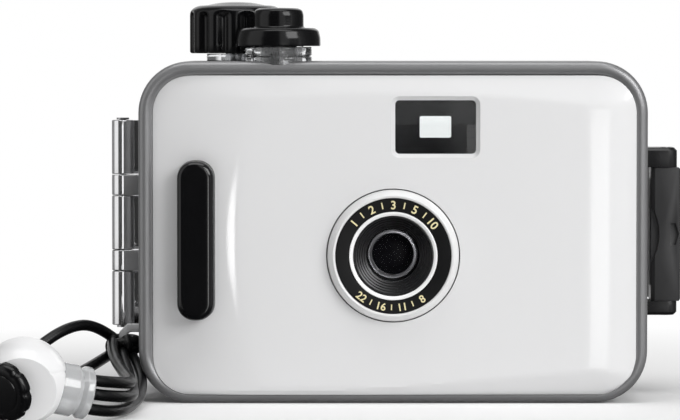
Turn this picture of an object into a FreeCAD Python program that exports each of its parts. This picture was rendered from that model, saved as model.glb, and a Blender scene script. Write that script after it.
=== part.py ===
import FreeCAD, Part
import math
import os

# A film camera in a waterproof case, with its wrist strap. All sizes are millimetres.
# X runs to the right of someone who faces the lens, Y runs from the lens to the back, Z runs up.
# The origin lies in the case's bottom face, below the lens.

Vector = FreeCAD.Vector

# Film and inner camera
gate_width = 36.0
gate_height = 24.0
gate_side = 6.2
cassette_chamber_radius = 13.2
cassette_chamber_end = 3.4
take_up_chamber_radius = 12.4
take_up_chamber_end = 4.6
chamber_height = 48.4
camera_floor = 6.0
camera_deck = 1.2
camera_top_depth = 11.0
camera_corner_radius = 8.0
camera_wall = 1.4
camera_front_y = -14.8
lens_to_film = 30.5
film_to_back = 4.7
film_channel = 1.8
door_gap = 0.5
sprocket_from_film = 6.2
sprocket_radius = 6.05
sprocket_teeth = 8
sprocket_gap = 0.8
tooth_height = 0.9
tooth_root = 0.6
tooth_half_width = 0.6
sprocket_drum_half = 1.6
sprocket_shaft_low = 1.5
sprocket_shaft_high = 2.0
perforation_spacing = 28.4
spool_radius = 5.0
spool_from_film = 10.5
spool_slit_half = 9.0
thumbwheel_radius = 10.0
thumbwheel_height = 4.2
thumbwheel_knurls = 30
thumbwheel_stand = 0.5
knurl_radius = 0.7
hub_radius = 4.0
hub_stand = 1.8
counter_radius = 6.9
counter_teeth = 40
counter_thickness = 1.0
rewind_from_film = 11.1
rewind_disc_radius = 8.5
crank_length = 15.5
crank_half_width = 2.0
crank_thickness = 1.4
crank_grip_radius = 1.9
crank_grip_height = 2.6
fork_half_width = 0.8
fork_depth = 3.5
release_radius = 3.5
release_from_front = 7.8
release_sink = 2.4
release_flange_height = 2.0
release_flange_width = 0.8
release_pin_radius = 1.2
rewind_disc_height = 1.8
counter_dial_depth = 3.6
sprocket_shaft_radius = 1.5
sprocket_bay_room = 1.3
spool_pivot_radius = 2.0
film_track_height = 36.4
film_track_end = 1.3
light_way_width = 12.0
shutter_pocket_depth = 7.8
shutter_pocket_width = 40.0
shutter_plate_depth = 6.2
shutter_plate_radius = 15.0
shutter_plate_thickness = 0.5
shutter_boss_circle = 13.4
shutter_boss_radius = 1.2
aperture_radius = 2.6
leaf_arm = 11.0
leaf_radius = 4.0
leaf_thickness = 0.35
leaf_pin_radius = 0.8
barrel_radius = 9.0
barrel_flange_radius = 14.0
barrel_flange_thickness = 1.0
front_element_radius = 5.45
front_element_depth = 3.2
front_element_bulge = 1.3
rear_element_radius = 4.95
rear_element_thickness = 1.6
lens_throat_radius = 3.6
camera_screw_inset = 11.0
camera_screw_low = 4.0
camera_screw_high = 5.4
camera_screw_radius = 0.95
camera_screw_head_radius = 1.8
camera_screw_length = 4.2
screw_slot = 0.4
counter_window_near = 2.0
counter_window_far = 6.4
counter_window_width = 4.8
thumb_notch_radius = 11.0
thumb_notch_back = 4.5
thumb_notch_height = 5.5
finder_lens_thickness = 1.5
chassis_gap = 0.2
door_pivot_inset = 1.0
door_pivot_from_back = 1.4
door_pivot_radius = 0.8
door_barrel_radius = 1.35
door_ear_half = 1.3
door_ear_height = 1.8
door_ear_from_end = 2.4
door_ear_room = 3.4
door_side_gap = 0.5
door_margin = 5.0
door_hollow = 0.8
door_edge_from_pivot = 1.9
door_web = 2.4
pressure_plate_side_gap = 0.8
pressure_plate_corner_radius = 2.0
pressure_plate_overhang = 0.6
pressure_plate_thickness = 0.7
pressure_plate_from_film = 0.5
leaf_spring_x = 2.0
leaf_spring_length = 28.0
leaf_spring_width = 7.0
leaf_spring_thickness = 0.2

# Case
case_wall = 2.6
front_wall = 2.2
back_wall = 2.4
foot_height = 1.4
side_room = 2.4
top_room = 5.9
front_room = 2.2
back_room = 1.2
case_corner_radius = 12.0
seam_y = 14.0
seam_gap = 0.2
rim_width = 3.2
rim_bottom_width = 1.7
rim_height = 2.8
cover_edge_radius = 3.0
cover_rest_width = 84.0
cover_rest_height = 42.0
cover_rest_rise = 2.0
cover_rest_corner = 7.0
cover_rest_depth = 0.8
floor_rib_x = 30.0
floor_rib_thickness = 3.0
back_rib_x = 38.0
back_rib_thickness = 2.0
back_rib_height = 32.0
gasket_width = 0.9
gasket_depth = 1.25
fit_gap = 0.1
running_gap = 0.05
press_gap = 0.02
overlap = 0.5
past = 1.0

# Front panel
panel_crown = 4.0
panel_edge_height = 1.4
panel_bottom_edge_height = 3.0
panel_left_margin = 18.5
panel_right_margin = 9.3
panel_top_margin = 4.4
panel_bottom_margin = 3.0

# Grip pad
grip_from_side = 13.4
grip_above_lens = 3.5
grip_width = 8.6
grip_length = 36.8
grip_stand = 7.6
grip_corner_radius = 3.9
grip_edge_radius = 1.3

# Lens port
bezel_radius = 15.25
bezel_front_radius = 13.75
bezel_bore_radius = 13.4
bezel_stand = 6.8
bezel_shoulder = 0.3
index_ring_sink = 0.6
index_ring_inner_radius = 10.25
trim_ring_stand = 0.2
trim_ring_inner_radius = 9.3
cone_mouth_radius = 8.9
cone_throat_radius = 6.25
cone_throat_stand = 1.4
cone_rib_count = 5
port_glass_radius = 8.0
port_glass_thickness = 1.4
port_seal_thickness = 0.5
port_seal_width = 1.0
port_retainer_height = 1.0
port_retainer_bore = 6.6
port_boss_radius = 11.0
port_boss_depth = 1.5

# Finder
finder_x = 9.8
finder_above_deck = 4.3
finder_width = 18.5
finder_height = 12.2
finder_bevel = 1.0
finder_recess = 1.2
finder_pane_thickness = 0.9
finder_sight_width = 7.3
finder_sight_height = 5.0
finder_sight_margin = 1.6
finder_corner_radius = 0.9
sight_corner_radius = 0.4
eyepiece_width = 19.0
eyepiece_height = 13.0
eyepiece_thickness = 1.2
eyepiece_ledge = 1.2
eyepiece_corner_radius = 1.4
tunnel_width = 11.0
tunnel_height = 6.9
tunnel_wall = 1.5

# Hinge and latch
hinge_stand = 5.5
hinge_radius = 2.6
hinge_base_z = 15.65
long_knuckle = 12.9
short_knuckle = 4.85
knuckle_gap = 0.2
knuckle_root = 0.6
hinge_pin_radius = 0.9
hinge_pin_head = 0.6
latch_z = 37.85
latch_length = 31.8
latch_pin_stand = 6.3
latch_pin_y = 6.0
latch_pin_radius = 1.0
latch_lever_thickness = 7.0
latch_lever_reach = 15.4
latch_ear_gap = 0.05
latch_ear_step = 0.8
latch_ear_chamfer = 0.7
latch_front = 2.4
latch_corner_cut = 3.2
latch_scoop_radius = 13.1
latch_scoop_depth = 1.2
latch_mark_depth = 0.8
latch_mark = [(-2.4, -2.6), (-1.2, -2.6), (-0.4, 0.0), (-1.2, 2.6), (-2.4, 2.6)]
latch_hook_gap = 0.25
ear_lower_height = 3.3
ear_upper_height = 4.7
ear_front = 2.8
ear_corner_radius = 2.4
ear_root = 3.0
catch_height = 2.0
catch_width = 3.0
catch_length = 26.0
catch_from_seam = 1.8
bracket_thickness = 0.9
bracket_screw_y = 10.8
bracket_screw_spacing = 19.0
bracket_screw_radius = 0.85
bracket_screw_head_radius = 1.5
bracket_screw_depth = 1.8
bracket_plate_front = 2.2
bracket_from_seam = 0.6
latch_scoop_reach = 1.9

# Controls on top
knob_radius = 11.0
knob_height = 12.2
knob_flutes = 12
knob_flute_radius = 2.0
knob_flute_depth = 1.1
knob_shoulder = 2.3
knob_round_height = 3.0
knob_roof = 2.2
knob_collar_radius = 7.0
knob_collar_height = 1.7
shaft_radius = 2.5
drive_blade = 1.2
drive_depth = 1.5
button_x = -26.6
button_from_crest = 7.9
button_radius = 9.8
button_top_radius = 5.85
button_travel = 2.0
button_flange_height = 4.2
button_top_height = 4.6
button_plunger_radius = 4.25
button_plunger_sink = 1.9
button_roof_room = 0.8
button_collar_radius = 7.75
button_collar_height = 4.2
button_collar_sink = 0.9
button_collar_notch_rise = 1.2
button_collar_notch = 0.35
button_stem_radius = 2.0
button_arm_width = 4.0
button_arm_height = 1.4
button_arm_rise = 2.8
button_spring_radius = 5.6
button_spring_wire = 0.5
button_spring_turns = 2.2
seal_thickness = 1.0
seal_width = 1.02
seal_bite = 0.08
seal_above_ceiling = 0.8

# Wrist strap
cord_diameter = 2.6
bar_stand = 4.6
bar_y = -2.0
bar_top_z = 16.0
bar_bottom_z = 8.0
bar_thickness = 2.0
bar_depth = 2.4
bar_bend = 2.0
bar_inner_bend = 0.6
bar_upper_socket = 1.6
bar_lower_socket = 2.4
bead_from_bar_x = -17.7
bead_from_bar_y = -72.0
bead_radius = 9.6
bead_yaw = 20.0
bead_pitch = -13.0
bead_bore_floor = -1.0
bead_bore_gap = 0.3
lock_plunger_radius = 5.8
lock_plunger_end = 14.8
lock_flange_length = 2.6
lock_spring_room = 5.0
lock_strand_start = 8.6
lock_slot_width = 3.2
lock_slot_height = 9.4
lock_cap_radius = 6.7
lock_cap_seat = 6.9
lock_cap_height = 2.4
lock_cap_flutes = 8
lock_cap_flute_radius = 1.0
lock_cap_flute_out = 0.55
lock_cap_round = 1.0
lock_cap_way = (-0.5, -0.83, -0.25)
lock_groove_depth = 0.7
lock_groove_half = 0.9
lock_spring_radius = 4.0
lock_spring_wire = 0.7
lock_spring_turns = 3.0
knot_bight_angles = (215, 290)
coil_from_bar_x = -44.4
coil_from_bar_y = -50.0
coil_outer_radius = 16.2
coil_step = 3.6
coil_layer_height = 3.1
coil_turns = 2.5
coil_start_angle = 137.6
coil_lead_in = 8.0
coil_lead_out = 9.0

# The cord's ways, as corners (x and y from the strap bar, height above the floor)
arc_way = [
    (-2.1, 1.1, 13.2),
    (-6.4, -4.3, 17.3),
    (-12.8, -11.4, 16.9),
    (-20.2, -17.6, 11.8),
    (-28.8, -21.9, 5.0),
    (-39.4, -25.8, 1.8),
]
back_way = [
    (-19.9, -45.0, 4.6),
    (-13.4, -31.5, 5.6),
    (-7.9, -17.5, 7.4),
    (-4.3, -6.8, 9.2),
    (-2.7, -0.6, 9.9),
]
lock_ways = [
    [
        (-10.5, -69.4, 4.7),
        (-3.6, -66.9, 3.1),
        (1.5, -62.1, 2.0),
        (4.8, -54.8, 1.5),
        (5.9, -42.6, 1.4),
        (5.6, -29.5, 2.6),
        (4.6, -17.5, 5.2),
        (3.2, -8.5, 7.9),
        (2.4, -3.0, 9.3),
    ],
    [
        (-9.8, -69.1, 7.7),
        (-3.2, -66.7, 6.1),
        (1.6, -62.2, 5.2),
        (4.6, -55.4, 4.6),
        (4.8, -44.0, 4.3),
        (3.6, -31.0, 5.1),
        (2.1, -19.0, 7.4),
        (0.6, -10.0, 9.4),
        (0.0, -4.0, 10.4),
    ],
    [
        (-9.2, -68.9, 10.6),
        (-3.0, -66.6, 9.1),
        (1.7, -62.2, 8.3),
        (4.5, -55.8, 7.6),
        (4.2, -45.0, 7.2),
        (2.0, -32.5, 7.7),
        (-0.6, -20.0, 9.6),
        (-2.0, -10.5, 11.5),
        (-2.3, -4.0, 12.7),
    ],
]

# Places of the inner camera, from the film outwards
camera_bottom = case_wall + foot_height
chamber_z0 = camera_bottom + camera_floor
chamber_z1 = chamber_z0 + chamber_height
lens_z = (chamber_z0 + chamber_z1) / 2
camera_deck_z = chamber_z1 + camera_deck
camera_top = camera_deck_z + camera_top_depth
film_y = camera_front_y + lens_to_film
camera_back_y = film_y + film_to_back
rewind_x = gate_width / 2 + gate_side + cassette_chamber_radius
rewind_y = film_y - rewind_from_film
camera_half_width = rewind_x + cassette_chamber_radius + cassette_chamber_end
knob_x = -(camera_half_width - take_up_chamber_end - take_up_chamber_radius)
knob_y = film_y - spool_from_film
sprocket_y = film_y - sprocket_from_film
sprocket_reach = spool_radius + sprocket_radius + tooth_height + sprocket_gap
sprocket_x = knob_x + math.sqrt(sprocket_reach**2 - (sprocket_y - knob_y) ** 2)
release_y = camera_front_y + release_from_front
door_pivot_x = -camera_half_width + door_pivot_inset
door_pivot_y = camera_back_y - door_pivot_from_back
door_front_y = film_y + film_channel + door_gap
shutter_pocket_y = camera_front_y + shutter_pocket_depth
shutter_plate_y = camera_front_y + shutter_plate_depth
chassis_z0 = camera_bottom + camera_wall + chassis_gap
chassis_front_y = camera_front_y + camera_wall + chassis_gap + fit_gap
chassis_back_y = film_y + film_channel
chassis_top_z = camera_deck_z - chassis_gap
wheel_z = camera_deck_z + thumbwheel_stand
finder_z = camera_deck_z + finder_above_deck

# Places of the case, from the camera outwards
half_width = camera_half_width + side_room + case_wall
ceiling_z = camera_top + top_room
case_height = ceiling_z + case_wall
wall_back_y = camera_front_y - front_room
wall_front_y = wall_back_y - front_wall
rim_crest_y = wall_front_y - rim_height
panel_front_y = wall_front_y - panel_crown
cover_front_y = seam_y + seam_gap
cover_inside_y = camera_back_y + back_room
cover_back_y = cover_inside_y + back_wall
grip_x = -half_width + grip_from_side
grip_z = lens_z + grip_above_lens
hinge_x = -half_width - hinge_stand
hinge_top_z = hinge_base_z + 3 * long_knuckle + 2 * short_knuckle + 4 * knuckle_gap
latch_pin_x = half_width + latch_pin_stand
latch_lever_z0 = latch_z - latch_length / 2
latch_lever_z1 = latch_z + latch_length / 2
catch_y0 = cover_front_y + catch_from_seam
bar_x = -half_width - bar_stand
button_y = rim_crest_y + button_from_crest
button_collar_z = case_height - button_collar_sink
button_collar_top = button_collar_z + button_collar_height
button_plunger_z = case_height - button_plunger_sink
button_seal_z = button_collar_z - seal_thickness - running_gap
button_roof_z = button_collar_top + button_travel + button_roof_room
winding_seal_z = ceiling_z + seal_above_ceiling
knob_base_z = case_height + knob_collar_height + fit_gap
gasket_inset = (case_wall - gasket_width) / 2
gasket_back_y = cover_front_y + gasket_depth
port_boss_y = wall_back_y + port_boss_depth
port_seat_y = port_boss_y - port_retainer_height - port_glass_thickness - port_seal_thickness
bead_centre = Vector(bar_x + bead_from_bar_x, bar_y + bead_from_bar_y, bead_radius)
coil_centre = Vector(bar_x + coil_from_bar_x, bar_y + coil_from_bar_y, 0)
cord_radius = cord_diameter / 2
cord_floor_z = cord_radius + 0.05


def block(x0, x1, y0, y1, z0, z1):
    return Part.makeBox(x1 - x0, y1 - y0, z1 - z0, Vector(x0, y0, z0))


def rod_x(y, z, x0, x1, radius):
    return Part.makeCylinder(radius, x1 - x0, Vector(x0, y, z), Vector(1, 0, 0))


def rod_y(x, z, y0, y1, radius):
    return Part.makeCylinder(radius, y1 - y0, Vector(x, y0, z), Vector(0, 1, 0))


def rod_z(x, y, z0, z1, radius):
    return Part.makeCylinder(radius, z1 - z0, Vector(x, y, z0))


def ring_y(x, z, y0, y1, outer, inner):
    return rod_y(x, z, y0, y1, outer).cut(rod_y(x, z, y0, y1, inner))


def ring_z(x, y, z0, z1, outer, inner):
    return rod_z(x, y, z0, z1, outer).cut(rod_z(x, y, z0, z1, inner))


def rounded_outline(u0, u1, v0, v1, radius, place):
    """A rectangle with round corners, in the plane that place maps it to."""
    lean = radius * (1 - math.sqrt(0.5))
    corners = [
        ((u1 - radius, v0), (u1 - lean, v0 + lean), (u1, v0 + radius)),
        ((u1, v1 - radius), (u1 - lean, v1 - lean), (u1 - radius, v1)),
        ((u0 + radius, v1), (u0 + lean, v1 - lean), (u0, v1 - radius)),
        ((u0, v0 + radius), (u0 + lean, v0 + lean), (u0 + radius, v0)),
    ]
    edges = []
    last = corners[-1][2]
    for start, middle, end in corners:
        if math.hypot(start[0] - last[0], start[1] - last[1]) > 1e-6:
            edges.append(Part.LineSegment(place(*last), place(*start)).toShape())
        edges.append(Part.Arc(place(*start), place(*middle), place(*end)).toShape())
        last = end
    return Part.Wire(edges)


def rounded_prism_y(x0, x1, z0, z1, radius, y0, y1):
    wire = rounded_outline(x0, x1, z0, z1, radius, lambda u, v: Vector(u, y0, v))
    return Part.Face(wire).extrude(Vector(0, y1 - y0, 0))


def rounded_prism_z(x0, x1, y0, y1, radius, z0, z1):
    wire = rounded_outline(x0, x1, y0, y1, radius, lambda u, v: Vector(u, v, z0))
    return Part.Face(wire).extrude(Vector(0, 0, z1 - z0))


def polygon_prism(points, direction):
    return Part.Face(Part.makePolygon(points + points[:1])).extrude(direction)


def turned_y(outline, x, z):
    """Turn an outline of (radius, y) points about an axis along Y."""
    points = [Vector(x + radius, y, z) for radius, y in outline]
    face = Part.Face(Part.makePolygon(points + points[:1]))
    return face.revolve(Vector(x, 0, z), Vector(0, 1, 0), 360)


def turned_z(outline, x, y):
    """Turn an outline of (radius, z) points about an axis along Z."""
    points = [Vector(x + radius, y, z) for radius, z in outline]
    face = Part.Face(Part.makePolygon(points + points[:1]))
    return face.revolve(Vector(x, y, 0), Vector(0, 0, 1), 360)


def edges_at(shape, axis, value, tolerance=1e-4):
    """Edges that lie wholly in the plane where one coordinate has a value."""
    found = []
    for edge in shape.Edges:
        box = edge.BoundBox
        low = getattr(box, axis + "Min")
        high = getattr(box, axis + "Max")
        if abs(low - value) < tolerance and abs(high - value) < tolerance:
            found.append(edge)
    return found


def save(name, shape, solids=1):
    """Write one node, after a look at its solids."""
    found = shape.Solids
    if len(found) != solids:
        print("solids differ:", name, len(found), "wanted", solids)
    if not shape.isValid():
        print("not valid:", name)
    result = found[0] if len(found) == 1 else Part.makeCompound(found)
    result.exportStep("parts/" + name + ".step")
    box = result.BoundBox
    print(
        f"{name:22s} {result.Volume:10.1f} mm3  x {box.XMin:7.1f} {box.XMax:7.1f}"
        f"  y {box.YMin:6.1f} {box.YMax:6.1f}  z {box.ZMin:5.1f} {box.ZMax:5.1f}"
    )
    return result


def case_outline(inset, y0, y1):
    """The case's outline, drawn in by an inset, as a prism along Y."""
    radius = case_corner_radius - inset
    half = half_width - inset
    return rounded_prism_y(-half, half, inset, case_height - inset, radius, y0, y1)


def panel_pocket(inset, y0, y1):
    """The space inside the rim, which reaches lower at the bottom than the rim's own inner edge."""
    return rounded_prism_y(
        -half_width + rim_width + inset,
        half_width - rim_width - inset,
        rim_bottom_width + inset,
        case_height - rim_width - inset,
        case_corner_radius - rim_width - inset,
        y0,
        y1,
    )


def knuckle_spans():
    """The hinge's knuckles from the bottom up, as (low z, high z, is long)."""
    spans = []
    z = hinge_base_z
    for index in range(5):
        is_long = index % 2 == 0
        length = long_knuckle if is_long else short_knuckle
        spans.append((z, z + length, is_long))
        z += length + knuckle_gap
    return spans


def knuckle(z0, z1, web_y0, web_y1, bore_radius):
    barrel = rod_z(hinge_x, seam_y, z0, z1, hinge_radius)
    web = block(hinge_x, -half_width + knuckle_root, web_y0, web_y1, z0, z1)
    return barrel.fuse(web).cut(rod_z(hinge_x, seam_y, z0 - past, z1 + past, bore_radius))


def strap_bar_solid(grow):
    """The bent bar; grow widens it evenly for its sockets."""
    half = bar_thickness / 2 + grow
    outer_x = bar_x - half
    inner_x = bar_x + half
    top = bar_top_z + half
    under_top = bar_top_z - half
    above_bottom = bar_bottom_z + half
    bottom = bar_bottom_z - half
    y0 = bar_y - bar_depth / 2 - grow
    upper_end = -half_width + bar_upper_socket
    lower_end = -half_width + bar_lower_socket
    outline = [
        (upper_end, top),
        (outer_x + bar_bend, top),
        (outer_x, top - bar_bend),
        (outer_x, bottom + bar_bend),
        (outer_x + bar_bend, bottom),
        (lower_end, bottom),
        (lower_end, above_bottom),
        (inner_x + bar_inner_bend, above_bottom),
        (inner_x, above_bottom + bar_inner_bend),
        (inner_x, under_top - bar_inner_bend),
        (inner_x + bar_inner_bend, under_top),
        (upper_end, under_top),
    ]
    points = [Vector(x, y0, z) for x, z in outline]
    return polygon_prism(points, Vector(0, bar_depth + 2 * grow, 0))


def make_front_shell():
    body = case_outline(0, wall_front_y, seam_y)
    rim = case_outline(0, rim_crest_y, wall_front_y)
    rim = rim.cut(case_outline(rim_width, rim_crest_y - past, wall_front_y + past))
    rim = rim.makeFillet(rim_width / 2 - running_gap, edges_at(rim, "Y", rim_crest_y))
    shell = body.fuse(rim).cut(panel_pocket(0, rim_crest_y - past, wall_front_y))
    shell = shell.cut(case_outline(case_wall, wall_back_y, seam_y + past))
    # The boss that holds the port glass, with its seat cut from inside
    shell = shell.fuse(rod_y(0, lens_z, wall_back_y - overlap, port_boss_y, port_boss_radius))
    shell = shell.cut(rod_y(0, lens_z, port_seat_y, port_boss_y + past, port_glass_radius + fit_gap))
    shell = shell.cut(rod_y(0, lens_z, wall_front_y - past, wall_back_y, cone_throat_radius))
    # The finder's sight hole
    sight = finder_rect(finder_sight_margin)
    sight_y0 = wall_front_y - past
    sight_y1 = wall_back_y + past
    shell = shell.cut(rounded_prism_y(*sight, 2 * sight_corner_radius, sight_y0, sight_y1))
    # Bore, seal seat and counterbore of the shutter button
    bore_z = button_plunger_z - button_travel - chassis_gap
    for z0, z1, radius in (
        (bore_z, case_height, button_plunger_radius + running_gap),
        (button_seal_z - fit_gap, case_height, button_plunger_radius + seal_width + press_gap),
        (button_collar_z, case_height + past, button_collar_radius + fit_gap),
    ):
        shell = shell.cut(rod_z(button_x, button_y, z0, z1, radius))
    # Bore and seal groove of the winding shaft
    shell = shell.cut(rod_z(knob_x, knob_y, ceiling_z - past, case_height + past, shaft_radius + running_gap))
    groove_top = winding_seal_z + seal_thickness + running_gap
    groove_radius = shaft_radius + seal_bite + seal_width + fit_gap
    shell = shell.cut(rod_z(knob_x, knob_y, winding_seal_z - running_gap, groove_top, groove_radius))
    # Ribs that the camera stands on
    for side in (-1, 1):
        x0 = side * floor_rib_x - floor_rib_thickness / 2
        x1 = x0 + floor_rib_thickness
        rib_y0 = wall_back_y - overlap
        rib_top = camera_bottom - fit_gap
        rib = block(x0, x1, rib_y0, seam_y - past, case_wall - overlap, rib_top)
        shell = shell.fuse(rib)
    # The two short knuckles
    for z0, z1, is_long in knuckle_spans():
        if not is_long:
            bore_radius = hinge_pin_radius + press_gap
            shell = shell.fuse(knuckle(z0, z1, seam_y - hinge_radius, seam_y - fit_gap, bore_radius))
    shell = shell.cut(strap_bar_solid(press_gap))
    for z in bracket_screw_heights():
        hole_x = half_width - bracket_screw_depth - fit_gap
        hole_radius = bracket_screw_radius + running_gap
        shell = shell.cut(rod_x(bracket_screw_y, z, hole_x, half_width + past, hole_radius))
    return shell


def finder_rect(margin):
    """Low x, high x, low z, high z of the finder's sight, widened by a margin."""
    return (
        finder_x - finder_sight_width / 2 - margin,
        finder_x + finder_sight_width / 2 + margin,
        finder_z - finder_sight_height / 2 - margin,
        finder_z + finder_sight_height / 2 + margin,
    )


def finder_frame_rect(margin):
    return (
        finder_x - finder_width / 2 - margin,
        finder_x + finder_width / 2 + margin,
        finder_z - finder_height / 2 - margin,
        finder_z + finder_height / 2 + margin,
    )


def fall_profile(start, end, start_margin, end_margin, start_y, place):
    """A closed section over the front wall: a flat top between two arcs that fall to the edges."""
    end_y = wall_front_y - panel_edge_height
    points = [
        (start, wall_front_y),
        (start, start_y),
        (start + start_margin, panel_front_y),
        (end - end_margin, panel_front_y),
        (end, end_y),
        (end, wall_front_y),
    ]
    first_middle = (start + start_margin / 2, start_y - (start_y - panel_front_y) * 0.75)
    last_middle = (end - end_margin / 2, end_y - (end_y - panel_front_y) * 0.75)
    p = [place(*point) for point in points]
    edges = [
        Part.LineSegment(p[0], p[1]),
        Part.Arc(p[1], place(*first_middle), p[2]),
        Part.LineSegment(p[2], p[3]),
        Part.Arc(p[3], place(*last_middle), p[4]),
        Part.LineSegment(p[4], p[5]),
        Part.LineSegment(p[5], p[0]),
    ]
    return Part.Face(Part.Wire([edge.toShape() for edge in edges]))


def make_front_panel():
    """A pillow: flat in the middle, falling off in an arc at each side."""
    outline = panel_pocket(fit_gap, panel_front_y - past, wall_front_y)
    x1 = half_width - rim_width
    z1 = case_height - rim_width
    edge_y = wall_front_y - panel_edge_height
    bottom_y = wall_front_y - panel_bottom_edge_height

    def level(x, y):
        return Vector(x, y, 0)

    def upright(z, y):
        return Vector(-half_width, y, z)

    across = fall_profile(-x1, x1, panel_left_margin, panel_right_margin, edge_y, level)
    upwards = fall_profile(rim_bottom_width, z1, panel_bottom_margin, panel_top_margin, bottom_y, upright)
    panel = outline.common(across.extrude(Vector(0, 0, case_height)))
    panel = panel.common(upwards.extrude(Vector(2 * half_width, 0, 0)))
    front_y = panel_front_y - past
    back_y = wall_front_y + past
    panel = panel.cut(rod_y(0, lens_z, front_y, back_y, bezel_radius + fit_gap))
    panel = panel.cut(rounded_prism_y(*grip_rect(fit_gap), grip_corner_radius + fit_gap, front_y, back_y))
    # The finder's opening widens to the front in a bevel
    panel = panel.cut(rounded_prism_y(*finder_frame_rect(fit_gap), finder_bevel, front_y, back_y))
    near_rect = finder_frame_rect(fit_gap)
    far_rect = finder_frame_rect(fit_gap + finder_bevel * 2)
    near = rounded_outline(*near_rect, finder_bevel, lambda u, v: Vector(u, panel_front_y + finder_bevel, v))
    far_y = panel_front_y - finder_bevel
    far = rounded_outline(*far_rect, 2 * finder_bevel, lambda u, v: Vector(u, far_y, v))
    return panel.cut(Part.makeLoft([near, far], True, True))


def grip_rect(margin):
    return (
        grip_x - grip_width / 2 - margin,
        grip_x + grip_width / 2 + margin,
        grip_z - grip_length / 2 - margin,
        grip_z + grip_length / 2 + margin,
    )


def make_grip_pad():
    front_y = wall_front_y - grip_stand
    pad = rounded_prism_y(*grip_rect(0), grip_corner_radius, front_y, wall_front_y)
    return pad.makeFillet(grip_edge_radius, edges_at(pad, "Y", front_y))


def make_lens_port():
    bezel_front_y = wall_front_y - bezel_stand
    bezel = [
        (bezel_bore_radius, wall_front_y),
        (bezel_radius, wall_front_y),
        (bezel_radius, panel_front_y - bezel_shoulder),
        (bezel_front_radius, bezel_front_y),
        (bezel_bore_radius, bezel_front_y),
    ]
    save("lens_bezel", turned_y(bezel, 0, lens_z))
    ring_front_y = bezel_front_y + index_ring_sink
    ring_radius = bezel_bore_radius - running_gap
    save("index_ring", ring_y(0, lens_z, ring_front_y, wall_front_y, ring_radius, index_ring_inner_radius))
    trim_y = ring_front_y - trim_ring_stand
    trim_radius = index_ring_inner_radius - running_gap
    save("lens_trim_ring", ring_y(0, lens_z, trim_y, wall_front_y, trim_radius, trim_ring_inner_radius))
    # The cone steps down to its throat in even ribs, each with a short flat and a slope
    cone_radius = trim_ring_inner_radius - running_gap
    throat_y = wall_front_y - cone_throat_stand
    outline = [(cone_radius, wall_front_y), (cone_radius, ring_front_y), (cone_mouth_radius, ring_front_y)]
    step_radius = (cone_mouth_radius - cone_throat_radius) / cone_rib_count
    step_y = (throat_y - ring_front_y) / cone_rib_count
    for rib in range(1, cone_rib_count + 1):
        radius = cone_mouth_radius - rib * step_radius
        y = ring_front_y + rib * step_y
        outline.append((radius + step_radius * 0.7, y - step_y * 0.15))
        outline.append((radius, y))
    outline.append((cone_throat_radius, wall_front_y))
    save("port_cone", turned_y(outline, 0, lens_z))
    seal_radius = port_glass_radius - fit_gap
    glass_y = port_seat_y + port_seal_thickness
    save("port_seal", ring_y(0, lens_z, port_seat_y, glass_y, seal_radius, seal_radius - port_seal_width))
    glass_back_y = glass_y + port_glass_thickness
    save("port_glass", rod_y(0, lens_z, glass_y, glass_back_y, port_glass_radius))
    retainer_back_y = glass_back_y + port_retainer_height
    retainer = ring_y(0, lens_z, glass_back_y, retainer_back_y, port_glass_radius, port_retainer_bore)
    save("port_retainer", retainer)


def make_finder():
    pane_y = panel_front_y + finder_recess
    pane_back_y = pane_y + finder_pane_thickness
    save("finder_window", rounded_prism_y(*finder_frame_rect(0), finder_corner_radius, pane_y, pane_back_y))
    mask_y = pane_back_y + running_gap
    mask = rounded_prism_y(*finder_frame_rect(0), finder_corner_radius, mask_y, wall_front_y)
    sight = rounded_prism_y(*finder_rect(0), sight_corner_radius, mask_y - past, wall_front_y + past)
    save("finder_mask", mask.cut(sight))


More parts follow.
